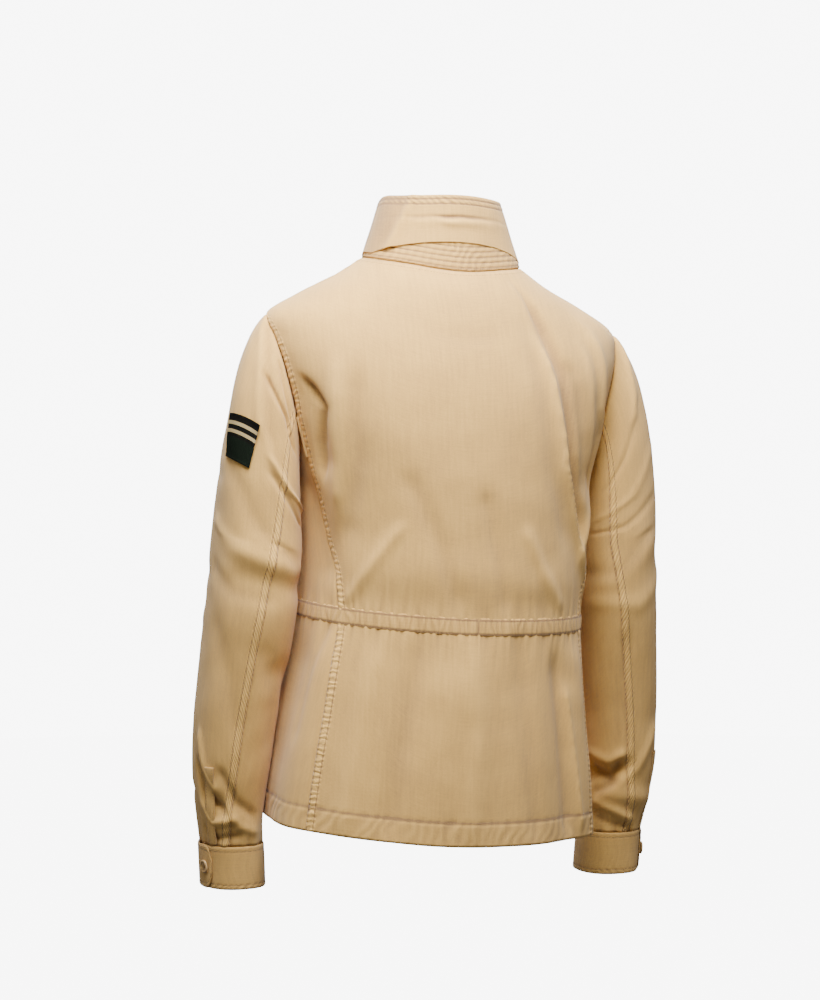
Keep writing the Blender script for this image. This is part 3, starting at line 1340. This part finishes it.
# %% [markdown]
# ## Sleeve badge
#
# A small woven badge is sewn to the outside of the left sleeve. It is dark
# above and green below, with plain pale bars across it, and a raised edge.

# %% Sleeve badge
BADGE_LEFT_TOP = (17.7, 0.477)
BADGE_RIGHT_TOP = (62.5, 0.415)
BADGE_LEFT_LOW = (15.7, 0.641)
BADGE_RIGHT_LOW = (56.0, 0.624)
BADGE_STEPS = 46


def badge_relief(spot):
    """A raised border with the twill a little lower inside it."""
    near = min(spot.left, spot.right, spot.top, spot.bottom)
    rim = 0.0004 * window(near, -0.01, 0.0022, 0.0008) - 0.0003 * bell(near, 0.0006)
    return summed(
        sleeve_creases["L"].at(spot.first, spot.second),
        (cloth_unrest(spot.point, 9.0) + rim, 0.0))


badge_places = []
for part in spread(0.0, 1.0, BADGE_STEPS):
    start = [mix(a, b, part) for a, b in zip(BADGE_LEFT_TOP, BADGE_LEFT_LOW)]
    end = [mix(a, b, part) for a, b in zip(BADGE_RIGHT_TOP, BADGE_RIGHT_LOW)]
    badge_places.append([
        tuple(mix(a, b, at) for a, b in zip(start, end)) for at in spread(0.0, 1.0, BADGE_STEPS)])
lay_cloth(
    "sleeve_badge", badge_places, partial(sleeve_point, SIDES[0]), badge_relief, -1.0, lift=0.0022)
print("cloths in all:", len(SHEETS))

# %% [markdown]
# ## Buttons
#
# The buttons are four-hole resin buttons, turned with a raised rim and a
# dished middle, and sewn on with two bars of thread. One is modelled at the
# origin, and its mesh is copied to every place.

# %% Buttons
BUTTON_RADIUS = 0.0085
CUFF_BUTTON_RADIUS = 0.0075
BUTTON_PROFILE = (
    (0.00, 0.58), (0.48, 0.56), (0.60, 0.60), (0.70, 0.86), (0.80, 1.00),
    (0.90, 0.96), (0.98, 0.74), (1.00, 0.50), (0.96, 0.18), (0.86, 0.00), (0.00, 0.00))
BUTTON_HEIGHT = 0.0030
BUTTON_SIDES = 40
HOLE_OFFSET = 0.0016
HOLE_RADIUS = 0.00075
FIBRE_RADIUS = 0.00026
FIBRE_PITCH = 0.00036
FIBRE_PATH = (
    (-0.0018, 0.0004), (-0.0015, 0.0019), (0.0, 0.0022), (0.0015, 0.0019), (0.0018, 0.0004))


def finished_mesh(thing):
    """The mesh of an object after its modifiers."""
    return bpy.data.meshes.new_from_object(
        thing.evaluated_get(bpy.context.evaluated_depsgraph_get()))


def turned_button(name):
    """A button turned round its axis, with four holes cut through it."""
    corners = []
    faces = []
    for part, high in BUTTON_PROFILE[1:-1]:
        for step in range(BUTTON_SIDES):
            turn = math.tau * step / BUTTON_SIDES
            corners.append((part * math.cos(turn), part * math.sin(turn), high * BUTTON_HEIGHT))
    rings = len(BUTTON_PROFILE) - 2
    for ring in range(rings - 1):
        for step in range(BUTTON_SIDES):
            after = (step + 1) % BUTTON_SIDES
            a = ring * BUTTON_SIDES
            b = a + BUTTON_SIDES
            faces.append((a + after, a + step, b + step, b + after))
    faces.append(tuple(range(BUTTON_SIDES)))
    faces.append(tuple(reversed(range((rings - 1) * BUTTON_SIDES, rings * BUTTON_SIDES))))
    corners = [(x * BUTTON_RADIUS, y * BUTTON_RADIUS, z) for x, y, z in corners]
    mesh = bpy.data.meshes.new(name)
    mesh.from_pydata(corners, [], faces)
    blank = add_object(name, mesh)
    for across in (-HOLE_OFFSET, HOLE_OFFSET):
        for along in (-HOLE_OFFSET, HOLE_OFFSET):
            bpy.ops.mesh.primitive_cylinder_add(
                vertices=12, radius=HOLE_RADIUS, depth=3.0 * BUTTON_HEIGHT,
                location=(across, along, 0.5 * BUTTON_HEIGHT))
            drill = bpy.context.active_object
            cut = blank.modifiers.new("Hole", "BOOLEAN")
            cut.object = drill
            cut.operation = "DIFFERENCE"
            cut.solver = "EXACT"
            whole = finished_mesh(blank)
            blank.modifiers.clear()
            blank.data = whole
            bpy.data.objects.remove(drill)
    return blank


def sewing_bars(name):
    """Two bars of thread across the holes."""
    bars = []
    for across in (-1.0, 1.0):
        for fibre in (-1.0, 0.0, 1.0):
            line = bpy.data.curves.new(name, "CURVE")
            line.dimensions = "3D"
            line.bevel_depth = FIBRE_RADIUS
            line.bevel_resolution = 1
            strand = line.splines.new("POLY")
            strand.points.add(len(FIBRE_PATH) - 1)
            for point, place in zip(strand.points, FIBRE_PATH):
                point.co = (across * HOLE_OFFSET + fibre * FIBRE_PITCH, *place, 1.0)
            bars.append(add_object(name, line))
    return bars


# %% Button places
def seat(shape, first, second, first_step, second_step, outward, lift):
    """Where a button sits on a surface, as a matrix with +Z off the cloth."""
    across = shape(first + first_step, second) - shape(first - first_step, second)
    down = shape(first, second + second_step) - shape(first, second - second_step)
    up = across.cross(down).normalized() * outward
    turn = up.to_track_quat("Z", "Y").to_matrix().to_4x4()
    turn.translation = shape(first, second) + up * lift
    return turn


SMALLER = CUFF_BUTTON_RADIUS / BUTTON_RADIUS
FLY_BUTTON_LEVELS = (0.0203, 0.0924, 0.2158, 0.3426, 0.4415, 0.5811)
POCKET_BUTTON_LEVELS = {"chest_pocket": 0.2103, "hip_pocket": 0.4681}
seats = []
for number, level in enumerate(FLY_BUTTON_LEVELS):
    place = seat(partial(on_front, 0.0), 0.0, level, 0.3, 0.002, -1.0, 0.0026)
    seats.append(("fly_button_%d" % (number + 1), place, 1.0))
for side in SIDES:
    for pocket in POCKETS:
        column = 0.5 * (pocket.inner_column + pocket.outer_column)
        place = seat(
            partial(on_front, side.sign), column, POCKET_BUTTON_LEVELS[pocket.name],
            0.2, 0.002, -side.sign, 0.0046)
        seats.append((pocket.name + "_button_" + side.letter, place, SMALLER))
    place = seat(
        partial(cuff_place, side), CUFF_FULL - CUFF_BUTTON_INSET, 0.5, 3.0, 0.05,
        -side.sign, 0.0006)
    seats.append(("cuff_button_" + side.letter, place, SMALLER))

blank = turned_button("button_blank")
bars = sewing_bars("sewing_bar")
bar_meshes = [finished_mesh(bar) for bar in bars]
buttons = {}
threads = {}
for name, place, scale in seats:
    grow = place @ Matrix.Scale(scale, 4)
    mesh = blank.data.copy()
    mesh.transform(grow)
    mesh.shade_smooth()
    buttons[name] = add_object(name + "_turned", mesh)
    joined = bmesh.new()
    for bar in bar_meshes:
        part = bar.copy()
        part.transform(grow)
        joined.from_mesh(part)
    thread_mesh = bpy.data.meshes.new(name + "_thread")
    joined.to_mesh(thread_mesh)
    joined.free()
    threads[name] = add_object(name + "_thread", thread_mesh)
for spare in [blank] + bars:
    bpy.data.objects.remove(spare)
print("buttons:", len(buttons))

# %% [markdown]
# ## Topstitching
#
# Every lapped seam, hem and edge carries a row of stitches. The lines are
# read off the sheets at a fixed distance from an edge, so they sit in the
# small dip of the relief. One Geometry Nodes tree lays stitches along all the
# lines: it turns edges into curves, cuts them into steps, puts one short
# grain of thread on each step and makes them real.

# %% Lines read off the sheets
def along_side(name, edge, inset, start=0.0, end=1.0):
    """A line down a sheet, inset metres from its left or right edge."""
    sheet = SHEETS[name]
    line = []
    for corners, across, down in zip(sheet.corners, sheet.across, sheet.down):
        wanted = inset if edge == "left" else across[-1] - inset
        if not 0.0 <= wanted <= across[-1]:
            continue
        for c in range(len(across) - 1):
            if across[c] <= wanted <= across[c + 1]:
                part = (wanted - across[c]) / max(across[c + 1] - across[c], 1e-9)
                line.append(corners[c].lerp(corners[c + 1], part))
                break
    first = int(start * len(line))
    last = int(end * len(line))
    return line[first:last]


def along_end(name, edge, inset, margin=0):
    """A line across a sheet, inset metres from its top or bottom edge."""
    sheet = SHEETS[name]
    line = []
    for c in range(margin, len(sheet.across[0]) - margin):
        total = sheet.down[-1][c]
        wanted = inset if edge == "top" else total - inset
        for r in range(len(sheet.down) - 1):
            if sheet.down[r][c] <= wanted <= sheet.down[r + 1][c]:
                run = max(sheet.down[r + 1][c] - sheet.down[r][c], 1e-9)
                part = (wanted - sheet.down[r][c]) / run
                line.append(sheet.corners[r][c].lerp(sheet.corners[r + 1][c], part))
                break
    return line


def both_sides(name, inset):
    """The two lines down a sheet, inset metres from its long edges."""
    return [along_side(name, edge, inset) for edge in ("left", "right")]


def both_ends(name, inset):
    """The two lines across a sheet, inset metres from its top and bottom."""
    return [along_end(name, edge, inset) for edge in ("top", "bottom")]


STITCH_LINES = {
    "body_stitches": [
        *both_sides("back_cloth", SEAM_BAND),
        along_end("back_cloth", "bottom", HEM_BAND),
        along_end("back_cloth", "top", NECK_BAND),
        *both_ends("waist_casing_cloth", 0.0022),
        *both_sides("fly_cloth", FLY_STITCH_INSET),
    ],
    "sleeve_stitches": [],
    "collar_stitches": [
        along_end("collar_leaf_cloth", "top", row, 2) for row in LEAF_STITCH_ROWS] + [
        along_end("collar_stand_cloth", "bottom", row + STAND_ALLOWANCE, 2)
        for row in STAND_STITCH_ROWS],
}
for letter in ("L", "R"):
    STITCH_LINES["body_stitches"] += [
        along_end("front_cloth_" + letter, "bottom", HEM_BAND),
        along_end("side_cloth_" + letter, "bottom", HEM_BAND),
        along_side("front_cloth_" + letter, "left", SEAM_BAND),
    ]
    for pocket in POCKETS:
        for name in (pocket.name + "_cloth_" + letter, pocket.name + "_flap_cloth_" + letter):
            STITCH_LINES["body_stitches"] += [
                *both_sides(name, POCKET_STITCH_INSET),
                along_end(name, "bottom", POCKET_STITCH_INSET, 2),
            ]
    STITCH_LINES["sleeve_stitches"] += [
        along_side("sleeve_top_cloth_" + letter, "right", SEAM_BAND, 0.02, 0.99),
        *both_ends("cuff_cloth_" + letter, CUFF_STITCH_INSET),
        *both_sides("sleeve_placket_cloth_" + letter, PLACKET_STITCH_INSET),
    ]
print("stitch lines:", sum(len(lines) for lines in STITCH_LINES.values()))

# %% A tree that lays stitches
STITCH_STEP = 0.0033
STITCH_LENGTH = 0.0026
STITCH_THICKNESS = 0.0005


def add_node(tree, kind, settings=None):
    """Add a node. A setting is a property, a socket's value, or what feeds the socket."""
    node = tree.nodes.new(kind)
    for key, value in (settings or {}).items():
        if isinstance(value, bpy.types.Node):
            value = value.outputs[0]
        if isinstance(key, str) and hasattr(node, key):
            setattr(node, key, value)
        elif isinstance(value, bpy.types.NodeSocket):
            tree.links.new(value, node.inputs[key])
        else:
            node.inputs[key].default_value = value
    return node


def stitch_tree():
    """Geometry Nodes: lines in, a grain of thread on every step out."""
    tree = bpy.data.node_groups.new("lay_stitches", "GeometryNodeTree")
    sockets = (
        ("Lines", "INPUT", "NodeSocketGeometry", None),
        ("Step", "INPUT", "NodeSocketFloat", STITCH_STEP),
        ("Length", "INPUT", "NodeSocketFloat", STITCH_LENGTH),
        ("Thickness", "INPUT", "NodeSocketFloat", STITCH_THICKNESS),
        ("Stitches", "OUTPUT", "NodeSocketGeometry", None),
    )
    for name, way, kind, value in sockets:
        socket = tree.interface.new_socket(name, in_out=way, socket_type=kind)
        if value:
            socket.default_value = value
    start = add_node(tree, "NodeGroupInput").outputs
    curves = add_node(tree, "GeometryNodeMeshToCurve", {"Mesh": start["Lines"]})
    steps = add_node(tree, "GeometryNodeResampleCurve", {
        "mode": "LENGTH", "Curve": curves, "Length": start["Step"]})
    grain = add_node(tree, "GeometryNodeMeshUVSphere", {"Segments": 6, "Rings": 4, "Radius": 0.5})
    size = add_node(tree, "ShaderNodeCombineXYZ", {
        "X": start["Length"], "Y": start["Thickness"], "Z": start["Thickness"]})
    heading = add_node(tree, "GeometryNodeInputTangent")
    turned = add_node(tree, "FunctionNodeAlignRotationToVector", {"axis": "X", "Vector": heading})
    laid = add_node(tree, "GeometryNodeInstanceOnPoints", {
        "Points": steps, "Instance": grain, "Rotation": turned, "Scale": size})
    real = add_node(tree, "GeometryNodeRealizeInstances", {"Geometry": laid})
    add_node(tree, "NodeGroupOutput", {"Stitches": real})
    return tree


# %% Lay the stitches
tree = stitch_tree()
stitches = {}
for name, lines in STITCH_LINES.items():
    corners = []
    edges = []
    for line in lines:
        first = len(corners)
        corners.extend(line)
        edges.extend((first + step, first + step + 1) for step in range(len(line) - 1))
    mesh = bpy.data.meshes.new(name + "_lines")
    mesh.from_pydata(corners, edges, [])
    guide = add_object(name + "_lines", mesh)
    guide.modifiers.new("Stitches", "NODES").node_group = tree
    stitches[name] = add_object(name, finished_mesh(guide))
    bpy.data.objects.remove(guide)
    print(name, len(stitches[name].data.polygons), "faces")

# %% [markdown]
# ## Materials
#
# The cotton is a garment-washed canvas: a firm twill whose dye has faded on
# every ridge and stayed in every groove. Its yarns are uneven, so faint long
# slubs run down each panel. It has hardly any gloss, only the pale fuzz of
# worn fibres at a flat angle.

# %% Colours
def linear(code, alpha=1.0):
    """An sRGB hex colour as the linear values that a shader takes."""
    values = []
    for start in (0, 2, 4):
        value = int(code[start:start + 2], 16) / 255.0
        values.append(value / 12.92 if value <= 0.04045 else ((value + 0.055) / 1.055) ** 2.4)
    return (*values, alpha)


def new_material(name):
    """A material with an empty tree."""
    material = bpy.data.materials.new(name)
    material.use_nodes = True
    material.node_tree.nodes.clear()
    return material, material.node_tree


def set_stops(node, stops, interpolation="LINEAR"):
    """Give a colour ramp its stops of position and colour, in order."""
    ramp = node.color_ramp
    ramp.interpolation = interpolation
    for end, (position, colour) in zip(ramp.elements, (stops[0], stops[-1])):
        end.position = position
        end.color = colour
    for position, colour in stops[1:-1]:
        ramp.elements.new(position).color = colour


# %% Washed cotton canvas
# The real twill has about two ribs a millimetre, which is too fine to show, so
# its ribs are drawn a little over a millimetre apart.
THREAD_PITCH = 0.0011
PUCKER_LENGTH = 0.0058
PUCKER_LEAN = 0.30
SLUB_SCALE = (300.0, 22.0, 1.0)
CROSS_YARN_SCALE = (40.0, 760.0, 1.0)

# How light the cloth is by how far it lies from a seam, as part of SEAM_MAP_RUN:
# the seam's groove at the left, and its outer stitch row further on.
SEAM_MAP_RUN = 0.0125
SEAM_GREYS = (
    (0.00, 0.55), (0.05, 0.75), (0.13, 0.55), (0.21, 1.00), (0.62, 1.00), (0.70, 0.35),
    (0.79, 1.00), (1.00, 1.00))


def cotton(name, deep, middle, faded):
    """Garment-washed cotton canvas with slubs, twill ribs and worn seams."""
    material, tree = new_material(name)
    flat = add_node(tree, "ShaderNodeUVMap", {"uv_map": "cloth_map"})
    solid = add_node(tree, "ShaderNodeTexCoord").outputs["Object"]
    worn = add_node(tree, "ShaderNodeAttribute", {"attribute_name": "worn"}).outputs["Fac"]
    seam_map = add_node(tree, "ShaderNodeUVMap", {"uv_map": "seam_map"})
    near = add_node(tree, "ShaderNodeSeparateXYZ", {"Vector": seam_map}).outputs["X"]

    slub_place = add_node(tree, "ShaderNodeMapping", {"Vector": flat, "Scale": SLUB_SCALE})
    cross_place = add_node(tree, "ShaderNodeMapping", {"Vector": flat, "Scale": CROSS_YARN_SCALE})
    noises = []
    for place, scale, detail, roughness in (
            (slub_place, 1.0, 3.0, 0.6), (cross_place, 1.0, 2.0, 0.5),
            (solid, 15.0, 4.0, 0.55), (solid, 620.0, 2.0, 0.6)):
        noises.append(add_node(tree, "ShaderNodeTexNoise", {
            "Vector": place, "Scale": scale, "Detail": detail, "Roughness": roughness}))
    slubs, cross, clouds, specks = noises

    band = add_node(tree, "ShaderNodeMapRange", {
        "interpolation_type": "SMOOTHSTEP", "Value": near, "From Min": 0.0125,
        "From Max": 0.0085, "To Min": 0.0, "To Max": 1.0})
    leaning = add_node(tree, "ShaderNodeMapping", {
        "Vector": seam_map, "Rotation": (0.0, 0.0, PUCKER_LEAN)})
    ripples = add_node(tree, "ShaderNodeTexWave", {
        "wave_type": "BANDS", "bands_direction": "Y", "Vector": leaning,
        "Scale": 0.314 / PUCKER_LENGTH, "Distortion": 5.5, "Detail": 3.0, "Detail Scale": 2.0,
        "Detail Roughness": 0.6}).outputs["Fac"]
    pucker = add_node(tree, "ShaderNodeMath", {"operation": "MULTIPLY", 0: ripples, 1: band})
    run = add_node(tree, "ShaderNodeMath", {
        "operation": "MULTIPLY", 0: near, 1: 1.0 / SEAM_MAP_RUN})
    rows = add_node(tree, "ShaderNodeValToRGB", {"Fac": run})
    set_stops(rows, [(position, (grey, grey, grey, 1.0)) for position, grey in SEAM_GREYS])

    total = add_node(tree, "ShaderNodeMath", {
        "operation": "MULTIPLY_ADD", 0: specks, 1: 0.30, 2: 0.35})
    for source, strength, offset in (
            (worn, 0.80, 0.0), (slubs, 0.36, -0.18), (cross, 0.26, -0.13),
            (clouds, 0.36, -0.18), (pucker, 0.40, 0.0), (rows, 1.0, -1.0)):
        part = add_node(tree, "ShaderNodeMath", {
            "operation": "MULTIPLY_ADD", 0: source, 1: strength, 2: offset})
        total = add_node(tree, "ShaderNodeMath", {"operation": "ADD", 0: total, 1: part})
    colour = add_node(tree, "ShaderNodeValToRGB", {"Fac": total})
    set_stops(colour, ((0.0, linear(deep)), (0.5, linear(middle)), (1.0, linear(faded))))

    ribs = add_node(tree, "ShaderNodeTexWave", {
        "wave_type": "BANDS", "bands_direction": "DIAGONAL", "Vector": flat,
        "Scale": 0.18 / THREAD_PITCH, "Distortion": 0.6, "Detail": 1.0}).outputs["Fac"]
    weave = add_node(tree, "ShaderNodeMath", {
        "operation": "MULTIPLY_ADD", 0: ribs, 1: 0.15, 2: slubs})
    puckered = add_node(tree, "ShaderNodeBump", {
        "Strength": 0.6, "Distance": 0.0008, "Height": pucker})
    bump = add_node(tree, "ShaderNodeBump", {
        "Strength": 0.30, "Distance": 0.0004, "Height": weave, "Normal": puckered})
    shader = add_node(tree, "ShaderNodeBsdfPrincipled", {
        "Base Color": colour, "Normal": bump, "Roughness": 0.92, "Specular IOR Level": 0.18,
        "Sheen Weight": 0.18, "Sheen Roughness": 0.6})
    add_node(tree, "ShaderNodeOutputMaterial", {"Surface": shader})
    return material


canvas = cotton("washed_cotton_canvas", "95734a", "ca9e55", "e9ba68")
gathered = cotton("gathered_cotton_canvas", "8e6c44", "c59951", "e6b96c")
print("cottons:", canvas.name, gathered.name)

# %% [markdown]
# The thread is spun polyester, a shade darker than the cloth and slightly
# glossy. The buttons are cast polyester resin, marbled like horn. The badge
# is embroidered twill, dark above and green below, with two pale bars.

# %% Thread, resin and badge twill
BADGE_BANDS = (
    (0.0, "0b0906"), (0.16, "a8946a"), (0.24, "0b0906"), (0.34, "a8946a"), (0.42, "0b0906"),
    (0.50, "0c140b"))
BADGE_MAP_RUN = 0.050


def flecked(name, scale, detail, distortion, stops, shine):
    """A material whose colour follows one fine noise."""
    material, tree = new_material(name)
    solid = add_node(tree, "ShaderNodeTexCoord").outputs["Object"]
    flecks = add_node(tree, "ShaderNodeTexNoise", {
        "Vector": solid, "Scale": scale, "Detail": detail, "Distortion": distortion})
    colour = add_node(tree, "ShaderNodeValToRGB", {"Fac": flecks})
    set_stops(colour, [(position, linear(code)) for position, code in stops])
    shader = add_node(tree, "ShaderNodeBsdfPrincipled", {"Base Color": colour, **shine})
    add_node(tree, "ShaderNodeOutputMaterial", {"Surface": shader})
    return material


def badge_twill():
    """Embroidered twill: dark above, green below, pale bars between."""
    material, tree = new_material("embroidered_twill")
    flat = add_node(tree, "ShaderNodeUVMap", {"uv_map": "cloth_map"})
    up = add_node(tree, "ShaderNodeSeparateXYZ", {"Vector": flat}).outputs["Y"]
    down = add_node(tree, "ShaderNodeMath", {
        "operation": "MULTIPLY", 0: up, 1: -1.0 / BADGE_MAP_RUN})
    colour = add_node(tree, "ShaderNodeValToRGB", {"Fac": down})
    set_stops(colour, [(position, linear(code)) for position, code in BADGE_BANDS], "CONSTANT")
    ribs = add_node(tree, "ShaderNodeTexWave", {
        "bands_direction": "DIAGONAL", "Vector": flat, "Scale": 170.0,
        "Distortion": 0.5}).outputs["Fac"]
    bump = add_node(tree, "ShaderNodeBump", {"Strength": 0.5, "Distance": 0.0003, "Height": ribs})
    shader = add_node(tree, "ShaderNodeBsdfPrincipled", {
        "Base Color": colour, "Normal": bump, "Roughness": 0.85, "Specular IOR Level": 0.1})
    add_node(tree, "ShaderNodeOutputMaterial", {"Surface": shader})
    return material


thread = flecked(
    "spun_polyester_thread", 900.0, 2.0, 0.0, ((0.0, "84663a"), (1.0, "a8824c")),
    {"Roughness": 0.62, "Specular IOR Level": 0.3})
resin = flecked(
    "cast_horn_resin", 170.0, 4.0, 1.6, ((0.3, "a07c4c"), (0.7, "cba873")), {"Roughness": 0.38})
twill = badge_twill()
print("small materials:", thread.name, resin.name, twill.name)

# %% [markdown]
# ## Studio floor
#
# The floor is plain and pale, and curves up into a backdrop, so that no line
# crosses the picture.

# %% Floor
FLOOR_LEVEL = -1.42
SWEEP_PROFILE = ((6.0, 0.0), (8.0, 0.15), (9.5, 0.9), (10.2, 2.2), (10.4, 6.0))
SWEEP_SIDES = 48


def studio_sweep():
    """A floor that curves up all round into a low wall."""
    corners = []
    faces = [tuple(range(SWEEP_SIDES))]
    for ring, (radius, high) in enumerate(SWEEP_PROFILE):
        for step in range(SWEEP_SIDES):
            turn = math.tau * step / SWEEP_SIDES
            corners.append((radius * math.cos(turn), radius * math.sin(turn), FLOOR_LEVEL + high))
            if ring:
                here = ring * SWEEP_SIDES + step
                after = ring * SWEEP_SIDES + (step + 1) % SWEEP_SIDES
                faces.append((here - SWEEP_SIDES, after - SWEEP_SIDES, after, here))
    mesh = bpy.data.meshes.new("studio_sweep")
    mesh.from_pydata(corners, [], faces)
    mesh.shade_smooth()
    paint, tree = new_material("pale_studio_paint")
    shader = add_node(tree, "ShaderNodeBsdfPrincipled", {
        "Base Color": linear("f4f4f4"), "Roughness": 0.9, "Emission Color": linear("ffffff"),
        "Emission Strength": 8.0})
    add_node(tree, "ShaderNodeOutputMaterial", {"Surface": shader})
    mesh.materials.append(paint)
    floor = add_object("studio_sweep", mesh)
    floor.visible_diffuse = False
    floor.visible_glossy = False


studio_sweep()
print("floor at %.2f m" % FLOOR_LEVEL)

# %% [markdown]
# ## Putting it together
#
# Every piece rides on the jacket's one body and stands for the solid that it
# dresses. Each sheet states the size of the cloth it was cut from, measured
# on the flat.


def dress(piece, node, slot, material):
    """Give a piece its finish, its body and the solid it stands for."""
    piece.data.materials.clear()
    piece.data.materials.append(material)
    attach(piece, "root")
    if node:
        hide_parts(node)


# Each cloth, the solid it stands for, how it is held and what it rests on. A
# star is the letter of a side.
CENTRE_BACK = (("back_cloth", "back", "hung", "collar_stand"),)
BOTH_SIDES = (
    ("front_cloth_*", "front_*", "hung", "back"),
    ("side_cloth_*", "side_*", "hung", "back"),
    ("sleeve_top_cloth_*", "sleeve_top_*", "hung", "back"),
    ("sleeve_under_cloth_*", "sleeve_under_*", "hung", "side_*"),
    ("cuff_cloth_*", "cuff_*", "hung", "sleeve_top_*"),
    ("sleeve_placket_cloth_*", "sleeve_placket_*", "laid", "sleeve_top_*"),
    ("chest_pocket_cloth_*", "chest_pocket_*", "laid", "front_*"),
    ("chest_pocket_flap_cloth_*", "chest_pocket_flap_*", "laid", "chest_pocket_*"),
    ("hip_pocket_cloth_*", "hip_pocket_*", "laid", "front_*"),
    ("hip_pocket_flap_cloth_*", "hip_pocket_flap_*", "laid", "hip_pocket_*"),
)
MIDDLE = (
    ("fly_cloth", "front_fly", "laid", "front_L"),
    ("collar_stand_cloth", "collar_stand", "hung", "back"),
    ("collar_leaf_cloth", "collar_leaf", "hung", "collar_stand"),
    ("waist_casing_cloth", "waist_casing", "gathered", "back"),
    ("sleeve_badge", "sleeve_patch", "laid", "sleeve_top_L"),
)
FINISHES = {
    "waist_casing_cloth": ("cotton_casing", gathered),
    "sleeve_badge": ("patch_twill", twill),
}

for table, letters in ((CENTRE_BACK, "-"), (BOTH_SIDES, "LR"), (MIDDLE, "-")):
    for letter in letters:
        for row in table:
            name, node, held, rest = (word.replace("*", letter) for word in row)
            piece = SHEETS[name].piece
            dress(piece, node, *FINISHES.get(name, ("cotton_canvas", canvas)))

for name, button in buttons.items():
    dress(button, name, "button_resin", resin)
    dress(threads[name], None, "cotton_canvas", thread)
for piece in stitches.values():
    dress(piece, None, "cotton_canvas", thread)
